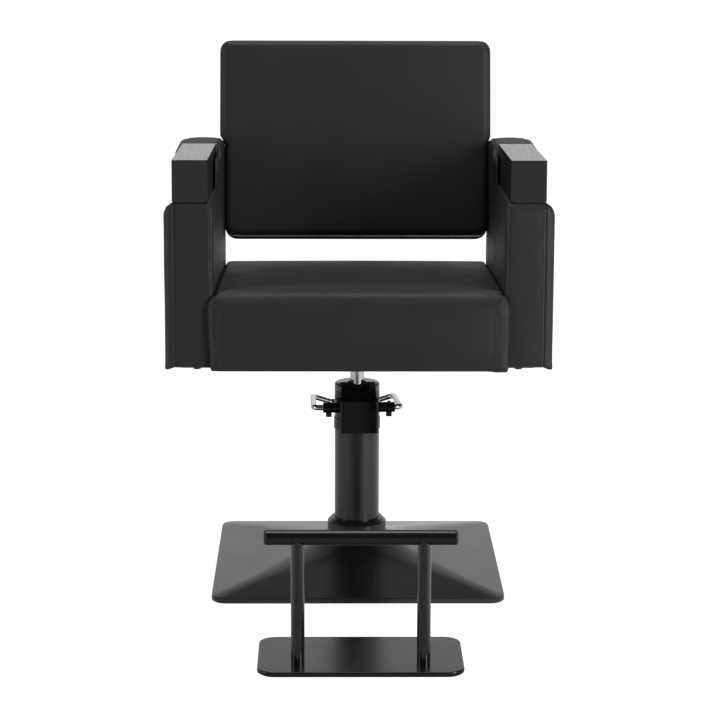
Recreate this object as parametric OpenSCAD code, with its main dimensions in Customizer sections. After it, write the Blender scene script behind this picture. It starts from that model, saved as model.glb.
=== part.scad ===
// Hairdressing chair: hydraulic pump column on a square base, boxed arms, padded seat and back,
// and a footrest that stands by itself in front.
// Millimetres, +Z up, the sitter faces -Y. The origin is the column axis at the floor.

/* [Base] */
// Side of the square base
base_w = 500; // [460:10:560]
// Radius of the base corners, seen from above
base_corner_r = 25; // [15:1:40]
// Thickness of the rubber mat under the base
mat_t = 2; // [1:0.5:4]
// Thickness of the steel base plate
base_plate_t = 7; // [5:1:10]
// Rise of the pressed cover, from the plate up to the collar
cover_rise = 54; // [44:1:70]
// Sheet thickness of the pressed cover
cover_t = 3; // [2:0.5:4]
// Outside radius of the collar round the column
collar_r = 52; // [48:1:60]
// Height of the collar
collar_h = 25; // [16:1:36]

/* [Column and pump] */
// Diameter of the column tube
column_d = 79; // [70:1:84]
// Wall of the column tube
column_wall = 2; // [1.5:0.5:4]
// Height of the column tube's top edge above the floor
column_top = 251; // [220:1:280]
// Height of the cast pump head above the column tube
head_h = 70; // [60:1:90]
// Width of the block on the front of the pump head
block_w = 67; // [60:1:72]
// Distance from the column axis to the front of that block
block_reach = 60; // [58:1:66]
// Height of the domed cap on the pump head
cap_h = 11; // [8:1:16]
// Turn of the pump head about the column axis
pump_yaw = 3.25; // [-10:0.25:10]
// Diameter of the chrome piston rod
rod_d = 25; // [22:1:28]
// Inside diameter of the pressure cylinder
cylinder_bore = 36; // [34:1:38]
// Wall of the pressure cylinder
cylinder_wall = 4; // [3:0.5:4]

/* [Pedal] */
// Diameter of the cross shaft through the pump head
shaft_d = 18; // [16:1:18]
// Length of the cross shaft
shaft_l = 126; // [110:2:140]
// Diameter of the pedal rod
pedal_d = 10; // [8:1:11]
// Distance from the column axis to each side run of the pedal
pedal_half_w = 77; // [72:1:90]
// Distance from the column axis back to the pedal's rear corners
pedal_reach = 112; // [90:1:150]
// Fall of the side runs from the shaft to the rear corners
pedal_fall = 14; // [5:1:25]
// Length of the rubber grip on the pedal
grip_l = 46; // [30:2:60]

/* [Seat] */
// Height of the seat's underside above the floor
seat_z = 409; // [400:1:440]
// Height of the front of the seat cushion
seat_front_h = 133; // [100:1:150]
// Height of the rear of the seat cushion
seat_rear_h = 101; // [80:1:120]
// Distance from the column axis to the front of the seat
seat_front = 270; // [262:1:300]
// Distance from the column axis to the rear of the seat
seat_rear = 240; // [220:1:260]
// Rise of the crown on the seat's top
seat_crown = 7; // [2:1:14]
// Thickness of the plywood seat board
seat_board_t = 15; // [10:1:20]

/* [Arms] */
// Distance from the column axis to the inner seam of each arm
arm_inner = 247; // [235:1:270]
// Width of each arm between its two seams
arm_w = 60.6; // [50:0.2:70]
// Distance from the column axis to the front of the arms
arm_front = 255; // [240:1:258]
// Distance from the column axis to the rear of the arms
arm_rear = 250; // [240:1:270]
// Height of the lower part of an arm at the front
arm_front_h = 276; // [240:1:300]
// Height of the lower part of an arm at the upright
arm_back_h = 265; // [235:1:290]
// Height of the rear upright of an arm
upright_h = 327; // [310:1:350]
// Depth of the rear upright of an arm
upright_d = 172; // [130:1:190]
// Swell of the outer side pad beyond its seam
outer_swell = 16.5; // [10:0.5:20]
// Swell of the inner side pad beyond its seam
inner_swell = 7; // [5:0.5:8]
// Height of the armrest blocks
rest_h = 68; // [40:1:80]

/* [Backrest] */
// Width of the backrest above the arms
back_w = 491; // [470:1:510]
// Height of the backrest along its slope
back_h = 355; // [320:1:400]
// Thickness of the front cushion of the backrest
back_cushion_t = 50; // [45:1:60]
// Thickness of the padded rear panel of the backrest
back_panel_t = 25; // [18:1:35]
// Recline of the backrest from upright
back_tilt = 13; // [5:1:16]
// Height of the backrest's lower front edge above the seat's underside
back_rise = 158; // [156:1:170]
// Distance from the column axis back to that edge
back_y = 165; // [160:1:170]

/* [Footrest] */
// Width of the footrest plate
foot_w = 324; // [300:2:360]
// Depth of the footrest plate
foot_l = 182; // [160:2:220]
// Thickness of the footrest plate
foot_t = 7.5; // [5:0.5:10]
// Thickness of the rubber sheet under the footrest plate
foot_mat_t = 1.5; // [1:0.5:3]
// Distance from the column axis to the middle of the footrest plate
foot_y = 547; // [450:1:650]
// Distance between the footrest posts
post_spacing = 197; // [150:1:220]
// Diameter of the footrest posts
post_d = 21.5; // [18:0.5:24]
// Diameter of the footrest bar
bar_d = 24; // [22:0.5:30]
// Length of the footrest bar with its end caps
bar_l = 302; // [260:2:330]
// Height of the footrest bar's axis above the floor
bar_z = 213; // [150:1:230]

/* [Hidden] */
$fn = 64;

// Shared clearances
over = 1;         // overrun of a cut
seat_gap = 0.02;  // between two pieces of one body that seat in each other
run_gap = 0.05;   // radial clearance of a running fit
soft_gap = 0.4;   // between a soft piece and its neighbour

// Base values
base_half = base_w / 2;
mat_inset = 3;
plate_z = mat_t + base_plate_t;    // top of the base plate
cover_inset = 1.5;                 // the plate shows as a rim round the cover
cover_lip = 1.5;                   // upright edge of the cover
cover_steps = 14;
cover_corner_n = 8;
cover_even_share = 0.72;           // share of the rise that is a straight slope
cover_flare_power = 6.5;
cover_corner_share = 0.09;         // corner radius over half width at the rim
cover_round_power = 3;
cover_z = plate_z + cover_rise;    // underside of the collar
cover_hole_gap = 0.7;
collar_chamfer = 7;
collar_gap = 0.3;
foot_flange_r = 65;
foot_flange_t = 8;
foot_spigot_h = 12;
foot_seat_depth = 4;
foot_bolt_r = 5;
foot_bolt_ring_r = 52;
foot_bolt_head_r = 8;
foot_bolt_head_h = 6.4;
foot_bolt_tip = 1;                 // the bolt ends this far above the plate's underside
bolt_gap = 0.25;
foot_z = plate_z + foot_flange_t;

// Column and pump values
column_r = column_d / 2;
column_in_r = column_r - column_wall;
spigot_gap = 0.2;
spigot_r = column_in_r - spigot_gap;
head_spigot_h = 8;
head_proud = 0.5;                  // the head stands this far proud of the tube
head_r = column_r + head_proud;
head_skirt = 1.2;                  // the skirt stands this far proud of the head
head_skirt_h = 20;
head_top = column_top + head_h;
cap_top = head_top + cap_h;
cap_round_r = 6;
cylinder_r = cylinder_bore / 2 + cylinder_wall;
cylinder_seat = 11;                // depth of the cylinder's seat in the head
rod_r = rod_d / 2;
bush_wall = 3.5;
bush_r = rod_r + run_gap + bush_wall;
bush_inset = 3;
wiper_wall = 3;
wiper_gap = 0.3;
wiper_lip = 0.8;
wiper_z = head_top;
wiper_r = rod_r + wiper_gap + wiper_wall;
block_lift = 2;
block_h = 56;
block_z0 = column_top + block_lift;
block_z1 = block_z0 + block_h;
block_chamfer = 3;
shaft_r = shaft_d / 2;
shaft_setback = 14;
shaft_cover = 12;
shaft_y = shaft_setback - block_reach;   // axis of the cross shaft, in front of the rod
shaft_z = block_z1 - shaft_cover;
crank_r = 4;                       // round nose of the crank
crank_reach = 16;
crank_w = 12;
pocket_w = 20;
pocket_wall = 3;
pocket_gap = 0.6;
plunger_r = 5;
plunger_gap = 0.3;
plunger_head_r = 7.5;
plunger_head_h = 3;
plunger_y = shaft_y + crank_reach;
plunger_top = shaft_z - crank_r - plunger_gap;
plunger_l = 29;
plunger_stroke_room = 8;
spring_room = 21;
pocket_z = plunger_top - spring_room;    // floor of the pocket, where the return spring stands
pocket_rear = plunger_y + plunger_head_r + pocket_gap;
pocket_front = -(block_reach - pocket_wall);
pocket_top = shaft_z + shaft_r + pocket_gap;
shoulder_gap = 3;
shoulder_y = -(column_r + shoulder_gap); // the assembly opening lies in front of the column
pump_cover_t = 3;
spring_wire_r = 0.8;
spring_mean_r = 6.2;
spring_turns = 5;
spring_gap = 0.3;
spring_sides = 6;
spring_steps = 12;                 // rings in each turn
piston_h = 32;
piston_lift = 13;
piston_z = foot_z + piston_lift;
piston_r = cylinder_bore / 2 - run_gap;
piston_cup = 12;
seal_h = 5;
seal_depth = 3;
seal_gap = 0.3;
seal_inset = 8;

// Seat support values
rail_h = 25;
rail_w = 40;
rail_wall = 2;
rail_y = 105;
rail_end_inset = 6;
rail_pad_t = 2;
rail_pad_l = 44;
hub_plate_t = 5;
hub_plate_half_w = 90;
hub_plate_bite = 13;
hub_plate_half_l = rail_y + hub_plate_bite;
hub_h = 21;
hub_r = 24;
rail_z = seat_z - rail_h;
hub_plate_z = rail_z - hub_plate_t;
hub_z = hub_plate_z - hub_h;
rod_foot_z = piston_z + piston_h - piston_cup;
taper = 1.3;
rod_screw_r = 5;
rod_screw_l = 34;
rod_screw_head_r = 8.5;
rod_screw_head_h = 6.4;
washer_r = 18;
washer_t = 2.5;
m8_r = 4;
m8_head_r = 6.5;
m8_head_h = 5.3;
seat_bolt_x = 150;
board_bite = 11;                   // depth of the seat bolts in the board
arm_bite = 30;                     // depth of the arm bolts in the arm frame

// Seat cushion values
seat_half_w = arm_inner - inner_swell - soft_gap;
lip_swell = 9.4;                   // the front of the cushion swells over the arms
lip_half_w = seat_half_w + lip_swell;
lip_gap = 1;
lip_run = 2;
seat_top_r = 22;
seat_side_r = 16;
seat_front_swell = 4;
seat_rear_r = 14;
seat_run_shares = [0.2, 0.4, 0.6, 0.8];
under_share = 0.35;                // the lower edges roll less than the upper ones
board_inset = 18;

// Arm values
arm_z = seat_z + rail_pad_t;
arm_mid = arm_inner + arm_w / 2;
arm_outer = arm_inner + arm_w;
upright_y = arm_rear - upright_d;
band_t = 3;
arm_corner_r = 9;
upright_corner_r = 20;
arm_nook_r = 4;
arm_corner_n = 5;
outer_roll = 12;
inner_roll = 5;
pad_skirt = 1;
pad_ring_shares = [0.78, 0.5, 0.22];
pad_roll_share = 0.94;              // share of the swell that the rolled edge takes
pad_edge_shares = [0.3, 1, 1, 1, 1, 1];
arm_tilt = atan((arm_front_h - arm_back_h) / (arm_front + upright_y));
rest_setback = 5;                  // the block starts behind the arm's front
rest_shift = 3;                    // and stands this far outward
rest_rear_gap = 4;
rest_trim = 2;                     // the block is this much narrower than the arm
rest_foot_t = 2.5;
rest_foot_inset = 4;
rest_l = arm_front + upright_y - rest_setback - rest_rear_gap;
stud_r = 4;
stud_down = 28;
stud_up = 32;
stud_place_shares = [0.22, 0.78];

// Backrest values
back_half_w = back_w / 2;
back_pinch_half_w = seat_half_w - 2 * soft_gap;
back_corner_r = 26;
back_roll = 18;
back_tuck = 6;
back_swell = 4;
back_cushion_lift = 9;             // the front cushion ends above the rear panel
panel_roll = 7;
back_side_n = 6;
pinch_run = 24;
pinch_top = (arm_z + upright_h - seat_z - back_rise) / cos(back_tilt)
  + (back_cushion_t + back_panel_t) * tan(back_tilt);
back_board_t = 12;
back_board_inset = 18;
batten_w = 30;
batten_t = 16;
back_bolt_depth = back_cushion_t - back_board_t / 2 - batten_t / 2;
back_bolt_bite = 25;
back_bolt_hole_r = 5;
back_bolt_head_r = 7.5;
back_bolt_head_h = 6;
back_bolt_sink = 8;
back_bolt_first = 60;
back_bolt_apart = 90;
back_bolt_heights = [back_bolt_first, back_bolt_first + back_bolt_apart];

// Pedal values
pedal_r = pedal_d / 2;
pedal_bend = 16;
pedal_bend_n = 5;
pedal_sides = 14;
pedal_bury = 20;                   // length of rod inside the shaft
pedal_tail_half_w = 40;
pedal_tail_run = 16;
pedal_tail_y = pedal_reach + pedal_tail_run;
pedal_tail_drop = 14;
pedal_gap = 0.15;
grip_wall = 4;
pedal_bolt_r = 3;
pedal_bolt_head_r = 5.2;
pedal_bolt_head_h = 7;
pedal_bolt_nub = 2;
pedal_bolt_x = shaft_l / 2 - 10;

// Footrest values
foot_corner_r = 28;
foot_mat_inset = 4;
post_forward = 46;
post_y = -(foot_y + post_forward);
post_wall = 1.5;
bar_wall = 1.5;
bar_cap_l = 5;
bar_cap_round = 3;
bar_plug_l = 12;

quadrants = [[1, 1], [-1, 1], [-1, -1], [1, -1]];
face_ring_shares = [0.85, 0.6, 0.35, 0.12];

function unit(v) = v / norm(v);
function last(list) = list[len(list) - 1];
function smooth(t) = let (c = min(1, max(0, t))) c * c * (3 - 2 * c);
// Crown of a padded face: 1 in the middle, 0 along the edges
function dome(u, v) = (1 - u * u) * (1 - v * v);

// Arc about a centre, from one angle to another, in n steps
function arc(c, r, a0, a1, n) =
  [for (i = [0:n]) c + r * [cos(a0 + (a1 - a0) * i / n), sin(a0 + (a1 - a0) * i / n)]];

// Points strictly between two points
function between(p, q, n) = [for (i = [1:n - 1]) p + (q - p) * i / n];

// Rounded rectangle, counter-clockwise, with points along its sides
function rect_ring(lo, hi, r, corner_n, long_n, short_n) =
  let (a = arc([hi.x - r, hi.y - r], r, 0, 90, corner_n),
       b = arc([lo.x + r, hi.y - r], r, 90, 180, corner_n),
       c = arc([lo.x + r, lo.y + r], r, 180, 270, corner_n),
       d = arc([hi.x - r, lo.y + r], r, 270, 360, corner_n))
  concat(a, between(last(a), b[0], long_n), b, between(last(b), c[0], short_n),
         c, between(last(c), d[0], long_n), d, between(last(d), a[0], short_n));

// Corners of an outline moved inward, each edge by its own distance
function inset_corners(p, d) =
  [for (i = [0:len(p) - 1])
    let (n = len(p), h = (i + n - 1) % n, u = unit(p[i] - p[h]), v = unit(p[(i + 1) % n] - p[i]),
         a = [-u.y, u.x], b = [-v.y, v.x], k = a * b)
    p[i] + (d[h] * (a - k * b) + d[i] * (b - k * a)) / (1 - k * k)];

// Outline with each corner rounded by its own radius
function round_corners(p, r, n) =
  [for (i = [0:len(p) - 1])
    let (m = len(p), u = unit(p[(i + m - 1) % m] - p[i]), v = unit(p[(i + 1) % m] - p[i]),
         half = acos(u * v) / 2, c = p[i] + unit(u + v) * r[i] / sin(half),
         s = p[i] + u * r[i] / tan(half) - c, turn = cross(v, u) > 0 ? 1 : -1,
         a0 = atan2(s.y, s.x))
    each arc(c, r[i], a0, a0 + turn * (180 - 2 * half), n)];

// Solid through rings of equal count that turn right-handed about the way they are stacked
module loft(rings, start, end) {
  n = len(rings[0]);
  m = len(rings);
  points = concat([for (r = rings) each r], [start, end]);
  sides = [for (k = [0:m - 2], i = [0:n - 1]) let (j = (i + 1) % n)
    each [[k * n + i, (k + 1) * n + j, k * n + j], [k * n + i, (k + 1) * n + i, (k + 1) * n + j]]];
  first_fan = [for (i = [0:n - 1]) [m * n, i, (i + 1) % n]];
  last_fan = [for (i = [0:n - 1]) [m * n + 1, (m - 1) * n + (i + 1) % n, (m - 1) * n + i]];
  polyhedron(points, concat(sides, first_fan, last_fan), convexity = 6);
}

// Path with its inner corners rounded over a run of the given length
function bend_path(p, run, n) =
  concat([p[0]],
    [for (i = [1:len(p) - 2])
      let (a = p[i] + unit(p[i - 1] - p[i]) * run, b = p[i] + unit(p[i + 1] - p[i]) * run)
      each [for (k = [0:n]) let (t = k / n)
        a * (1 - t) * (1 - t) + p[i] * 2 * t * (1 - t) + b * t * t]],
    [last(p)]);

// Round rod along a path that never runs straight up
function rod_rings(path, r, sides) =
  [for (i = [0:len(path) - 1])
    let (a = path[max(0, i - 1)], b = path[min(len(path) - 1, i + 1)], t = unit(b - a),
         u = unit(cross([0, 0, 1], t)), v = cross(t, u))
    [for (k = [0:sides - 1]) path[i] + r * (u * cos(360 * k / sides) + v * sin(360 * k / sides))]];

module rod_along(path, r, sides) loft(rod_rings(path, r, sides), path[0], last(path));

module disc(r, z0, z1) translate([0, 0, z0]) cylinder(r = r, h = z1 - z0);

module ring(r_out, r_in, z0, z1) difference() {
  disc(r_out, z0, z1);
  disc(r_in, z0 - over, z1 + over);
}

module slab(w, l, r, z0, z1)
  translate([0, 0, z0]) linear_extrude(z1 - z0)
    polygon(rect_ring([-w / 2, -l / 2], [w / 2, l / 2], r, 8, 2, 2));

module along_x(x0, x1) translate([x0, 0, 0]) rotate([90, 0, 90]) linear_extrude(x1 - x0) children();

module pin_x(r, x0, x1) translate([x0, 0, 0]) rotate([0, 90, 0]) cylinder(r = r, h = x1 - x0);

// Bolt with its shank pointing up from the underside of its head
module bolt_up(r, length, head_r, head_h) {
  disc(r, 0, length);
  disc(head_r, -head_h, 0);
}

module on_side(side) mirror([side < 0 ? 1 : 0, 0, 0]) children();

module in_pump() rotate([0, 0, pump_yaw]) children();

module in_back() translate([0, back_y, seat_z + back_rise]) rotate([-back_tilt, 0, 0]) children();

module at_foot_bolts() for (a = [45:90:315]) rotate([0, 0, a]) translate([foot_bolt_ring_r, 0, 0]) children();

module base_mat() color("#151515")
  slab(base_w - 2 * mat_inset, base_w - 2 * mat_inset, base_corner_r - mat_inset, 0, mat_t);

module base_plate() color("#1b1b1c") difference() {
  slab(base_w, base_w, base_corner_r, mat_t, plate_z);
  at_foot_bolts() disc(foot_bolt_r + seat_gap, mat_t + foot_bolt_tip, plate_z + over);
}

// Half width and height of the cover at a share of the way from the rim to the collar
function cover_half(t) = base_half - cover_inset - t * (base_half - cover_inset - collar_r);
function cover_top(t) = plate_z + cover_lip + (cover_rise - cover_lip)
  * (cover_even_share * t + (1 - cover_even_share) * pow(t, cover_flare_power));
function cover_ring(t, z) =
  let (h = cover_half(t), r = h * (cover_corner_share + (1 - cover_corner_share) * pow(t, cover_round_power)))
  [for (q = [0:3], p = arc((h - r) * quadrants[q], r, 90 * q, 90 * q + 90, cover_corner_n)) [p.x, p.y, z]];

// Pressed sheet that turns from a rounded square at the rim into a circle at the collar
module base_cover() color("#1d1d1f") difference() {
  loft(concat([cover_ring(0, plate_z)],
      [for (k = [0:cover_steps]) let (t = k / cover_steps) cover_ring(t, cover_top(t))]),
    [0, 0, plate_z], [0, 0, cover_z]);
  translate([0, 0, -cover_t])
    loft([for (k = [0:cover_steps]) let (t = k / cover_steps) cover_ring(t, cover_top(t))],
      [0, 0, plate_z + cover_lip], [0, 0, cover_z]);
  disc(column_r + cover_hole_gap, plate_z - over, cover_z + over);
}

module base_collar() color("#1a1a1b") rotate_extrude() polygon([
  [column_r + collar_gap, cover_z], [collar_r, cover_z], [collar_r, cover_z + collar_h - collar_chamfer],
  [collar_r - collar_chamfer, cover_z + collar_h], [column_r + collar_gap, cover_z + collar_h]]);

module pump_foot() color("#3a3a3c") difference() {
  union() {
    disc(foot_flange_r, plate_z, foot_z);
    disc(spigot_r, plate_z, foot_z + foot_spigot_h);
  }
  disc(cylinder_r + seat_gap, foot_z - foot_seat_depth, foot_z + foot_spigot_h + over);
  at_foot_bolts() disc(foot_bolt_r + bolt_gap, plate_z - over, foot_z + over);
}

module foot_bolts() color("#77787a") at_foot_bolts() {
  disc(foot_bolt_r, mat_t + foot_bolt_tip, foot_z);
  disc(foot_bolt_head_r, foot_z, foot_z + foot_bolt_head_h);
}

module column_tube() color("#202022") ring(column_r, column_in_r, foot_z, column_top);

module pump_cylinder() color("#5b5c5e")
  ring(cylinder_r, cylinder_bore / 2, foot_z - foot_seat_depth, column_top + cylinder_seat);

module block_outline() polygon([
  [-block_w / 2, 0], [-block_w / 2, block_chamfer - block_reach],
  [block_chamfer - block_w / 2, -block_reach], [block_w / 2 - block_chamfer, -block_reach],
  [block_w / 2, block_chamfer - block_reach], [block_w / 2, 0]]);

// The casting slopes up from the front edge of the block to the cap
module head_shoulder() rotate([90, 0, 90])
  linear_extrude(block_w - 2 * block_chamfer, center = true) polygon([
    [block_chamfer - block_reach, block_z1 - block_chamfer], [block_chamfer - block_reach, block_z1],
    [-head_r, head_top], [0, head_top], [0, block_z1 - block_chamfer]]);

// Cast head: a round body with a block in front, bored for the rod, the cross shaft and the plunger
module pump_head() color("#131314") in_pump() difference() {
  union() {
    disc(head_r, column_top, head_top);
    disc(head_r + head_skirt, column_top, column_top + head_skirt_h);
    disc(spigot_r, column_top - head_spigot_h, column_top);
    translate([0, 0, block_z0]) linear_extrude(block_z1 - block_z0) block_outline();
    head_shoulder();
  }
  disc(cylinder_r + seat_gap, column_top - head_spigot_h - over, column_top + cylinder_seat);
  disc(bush_r + seat_gap, column_top, head_top + over);
  translate([0, shaft_y, shaft_z]) pin_x(shaft_r + run_gap, -block_w, block_w);
  translate([-pocket_w / 2, pocket_front, pocket_z])
    cube([pocket_w, pocket_rear - pocket_front, pocket_top - pocket_z]);
  translate([-pocket_w / 2, pocket_front, block_z0 - over])
    cube([pocket_w, shoulder_y - pocket_front, pocket_top - block_z0]);
  translate([0, plunger_y, 0])
    disc(plunger_r + run_gap, plunger_top - plunger_l - plunger_stroke_room, pocket_top);
}

module head_cap() color("#0f0f10") in_pump() rotate_extrude() polygon(concat(
  [[wiper_r + seat_gap, head_top], [head_r, head_top]],
  arc([head_r - cap_round_r, cap_top - cap_round_r], cap_round_r, 0, 80, 8),
  [[wiper_r + seat_gap, cap_top]]));

module rod_bush() color("#a58a4e")
  ring(bush_r, rod_r + run_gap, column_top + cylinder_seat + bush_inset, head_top - bush_inset);

module rod_wiper() color("#101010") rotate_extrude() polygon([
  [rod_r + wiper_gap, wiper_z], [wiper_r, wiper_z], [wiper_r, cap_top],
  [rod_r + wiper_gap, cap_top + wiper_lip]]);

module pump_cover() color("#222223") in_pump()
  translate([seat_gap - pocket_w / 2, pocket_front + seat_gap, block_z0])
    cube([pocket_w - 2 * seat_gap, shoulder_y - pocket_front - 2 * seat_gap, pump_cover_t]);

// Return spring of the plunger, one unbroken tube that stands on the pocket floor
function spring_path() =
  let (n = spring_turns * spring_steps, z0 = pocket_z + spring_wire_r + spring_gap,
       z1 = plunger_top - plunger_head_h - spring_wire_r - spring_gap)
  [for (i = [0:n]) let (a = 360 * i / spring_steps)
    [spring_mean_r * cos(a), plunger_y + spring_mean_r * sin(a), z0 + (z1 - z0) * i / n]];
module plunger_spring() color("#8d8e90") in_pump() rod_along(spring_path(), spring_wire_r, spring_sides);

module pump_plunger() color("#9b9c9e") in_pump() translate([0, plunger_y, 0]) {
  disc(plunger_r, plunger_top - plunger_l, plunger_top);
  disc(plunger_head_r, plunger_top - plunger_head_h, plunger_top);
}

module piston() color("#8a8b8d") difference() {
  disc(piston_r, piston_z, piston_z + piston_h);
  disc(rod_r + run_gap, piston_z + piston_h - piston_cup, piston_z + piston_h + over);
  ring(piston_r + over, piston_r - seal_depth, piston_z + seal_inset, piston_z + seal_inset + seal_h);
}

module piston_seal() color("#141414") ring(cylinder_bore / 2 - seal_gap, piston_r - seal_depth + seat_gap,
  piston_z + seal_inset + seat_gap, piston_z + seal_inset + seal_h - seat_gap);

module piston_rod() color("#c9cacc") difference() {
  union() {
    disc(rod_r, rod_foot_z, hub_z);
    translate([0, 0, hub_z])
      cylinder(r1 = rod_r - seat_gap, r2 = rod_r - taper - seat_gap, h = rail_z - hub_z);
  }
  disc(rod_screw_r + seat_gap, rail_z - rod_screw_l - over, rail_z + over);
}

// Tapered hub welded under the plate that carries both rails
module seat_hub() color("#262628") difference() {
  union() {
    disc(hub_r, hub_z, hub_plate_z);
    translate([-hub_plate_half_w, -hub_plate_half_l, hub_plate_z])
      cube([2 * hub_plate_half_w, 2 * hub_plate_half_l, hub_plate_t]);
  }
  translate([0, 0, hub_z]) cylinder(r1 = rod_r, r2 = rod_r - taper, h = rail_z - hub_z);
}

module rod_screw() color("#7f8082") {
  disc(rod_screw_r, rail_z - rod_screw_l, rail_z);
  disc(washer_r, rail_z, rail_z + washer_t);
  disc(rod_screw_head_r, rail_z + washer_t, rail_z + washer_t + rod_screw_head_h);
}

module at_rail_bolts(xs) for (x = xs, side = [-1, 1]) translate([side * x, 0, 0]) children();

module rail_bar(inset)
  along_x(rail_end_inset + inset - arm_outer, arm_outer - rail_end_inset - inset)
    translate([inset - rail_w / 2, rail_z + inset])
      square([rail_w - 2 * inset, rail_h - 2 * inset]);

// Rectangular tube across the chair, closed at its ends, with a pad under each arm
module cross_rail(y) color("#242426") translate([0, y, 0]) difference() {
  union() {
    rail_bar(0);
    at_rail_bolts([arm_mid]) translate([-rail_pad_l / 2, -rail_w / 2, seat_z])
      cube([rail_pad_l, rail_w, rail_pad_t]);
  }
  rail_bar(rail_wall);
  at_rail_bolts([seat_bolt_x, arm_mid]) disc(m8_r + bolt_gap, rail_z - over, arm_z + over);
}
module front_rail() cross_rail(-rail_y);
module rear_rail() cross_rail(rail_y);

module at_both_rails() for (y = [-rail_y, rail_y]) translate([0, y, rail_z]) children();
module seat_bolts() color("#77787a") at_both_rails() at_rail_bolts([seat_bolt_x])
  bolt_up(m8_r, rail_h + board_bite, m8_head_r, m8_head_h);
module arm_bolts() color("#77787a") at_both_rails() at_rail_bolts([arm_mid])
  bolt_up(m8_r, rail_h + rail_pad_t + arm_bite, m8_head_r, m8_head_h);

module board_space(z1) translate([board_inset - seat_half_w, board_inset - arm_front, seat_z])
  cube([2 * (seat_half_w - board_inset), arm_front + seat_rear - 2 * board_inset, z1 - seat_z]);

module seat_board() color("#b08d5c") difference() {
  board_space(seat_z + seat_board_t);
  at_both_rails() at_rail_bolts([seat_bolt_x]) disc(m8_r + seat_gap, 0, rail_h + board_bite + seat_gap);
}

// One section of the seat cushion across the chair, rolled inward by an inset
function seat_height(y) =
  seat_rear_h + (seat_front_h - seat_rear_h) * (seat_rear - y) / (seat_rear + seat_front);
function seat_section(y, half_w, inset) =
  let (w = half_w - inset, top = seat_z + seat_height(y) - inset, low = seat_z + inset * under_share,
       arch = seat_crown * sin(180 * max(0, min(1, (seat_rear - y) / (seat_rear + seat_front)))))
  [for (p = rect_ring([-w, low], [w, top], max(seat_top_r - inset, seat_top_r * under_share), 5, 8, 3))
    let (up = smooth((p.y - seat_z) / (top - seat_z)))
    [p.x, y, p.y + arch * up * (1 - pow(p.x / w, 2))]];

// Boxed seat cushion: crowned on top, rolled at the front and drawn in between the arms
module seat_cushion() color("#26272a") difference() {
  mid = seat_z + seat_front_h / 2;
  lip_y = -arm_front - lip_gap - lip_run;
  face_y = seat_front_swell - seat_front;
  rim = seat_section(face_y, lip_half_w, seat_side_r);
  rim_w = lip_half_w - seat_side_r;
  rim_h = seat_front_h / 2 - seat_side_r;
  loft(concat(
      [for (a = [90:-30:0]) seat_section(seat_rear - seat_rear_r * (1 - sin(a)), seat_half_w,
        seat_rear_r * (1 - cos(a)))],
      [for (t = seat_run_shares) seat_section(seat_rear - seat_rear_r
        - t * (seat_rear + arm_front - seat_rear_r), seat_half_w, 0)],
      [seat_section(lip_y + lip_run, seat_half_w, 0)],
      [for (a = [0:18:90]) seat_section(face_y + (lip_y - face_y) * (1 - sin(a)), lip_half_w,
        seat_side_r * (1 - cos(a)))],
      [for (s = face_ring_shares) [for (p = rim) let (q = [p.x * s, mid + (p.z - mid) * s])
        [q.x, face_y - seat_front_swell * dome(q.x / rim_w, min(1, (q.y - mid) / rim_h)), q.y]]]),
    [0, seat_rear, seat_z + seat_rear_h / 2], [0, -seat_front, mid]);
  board_space(seat_z + seat_board_t);
}

arm_corners = [[-arm_front, arm_z], [arm_rear, arm_z], [arm_rear, arm_z + upright_h],
  [upright_y, arm_z + upright_h], [upright_y, arm_z + arm_back_h], [-arm_front, arm_z + arm_front_h]];
arm_radii = [arm_corner_r, arm_corner_r, upright_corner_r, upright_corner_r, arm_nook_r, arm_corner_r];
arm_inward = [1, 1, 1, 1, -1, 1];  // a nook grows where a corner shrinks
function arm_outline(inset, shares) = round_corners(inset_corners(arm_corners, inset * shares),
  [for (i = [0:5]) max(arm_radii[i] - arm_inward[i] * inset, arm_nook_r - band_t)], arm_corner_n);
even_shares = [1, 1, 1, 1, 1, 1];

module at_arm_studs() translate([0, rest_setback - arm_front, arm_z + arm_front_h]) rotate([-arm_tilt, 0, 0])
  for (s = stud_place_shares) translate([arm_mid, rest_l * s, 0]) children();
module at_back_bolts() in_back() for (h = back_bolt_heights) translate([0, back_bolt_depth, h]) children();
module arm_bolt_holes() for (y = [-rail_y, rail_y]) translate([arm_mid, y, 0])
  disc(m8_r + seat_gap, arm_z - over, arm_z + arm_bite + seat_gap);

// Solid wooden core, bored for the bolts from below, the studs on top and the back bolts
module arm_frame() color("#b08d5c") difference() {
  along_x(arm_inner, arm_outer) polygon(arm_outline(band_t, even_shares));
  arm_bolt_holes();
  at_arm_studs() disc(stud_r + seat_gap, -stud_down - seat_gap, over);
  at_back_bolts() pin_x(m8_r + bolt_gap, arm_inner - over, arm_outer + over);
  at_back_bolts() pin_x(back_bolt_head_r + over, arm_outer - back_bolt_sink, arm_outer + over);
}

module arm_band() color("#27282b") difference() {
  along_x(arm_inner, arm_outer) polygon(arm_outline(0, even_shares));
  along_x(arm_inner - over, arm_outer + over) polygon(arm_outline(band_t, even_shares));
  arm_bolt_holes();
  at_arm_studs() disc(stud_r + seat_gap, -stud_down, over);
}

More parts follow.
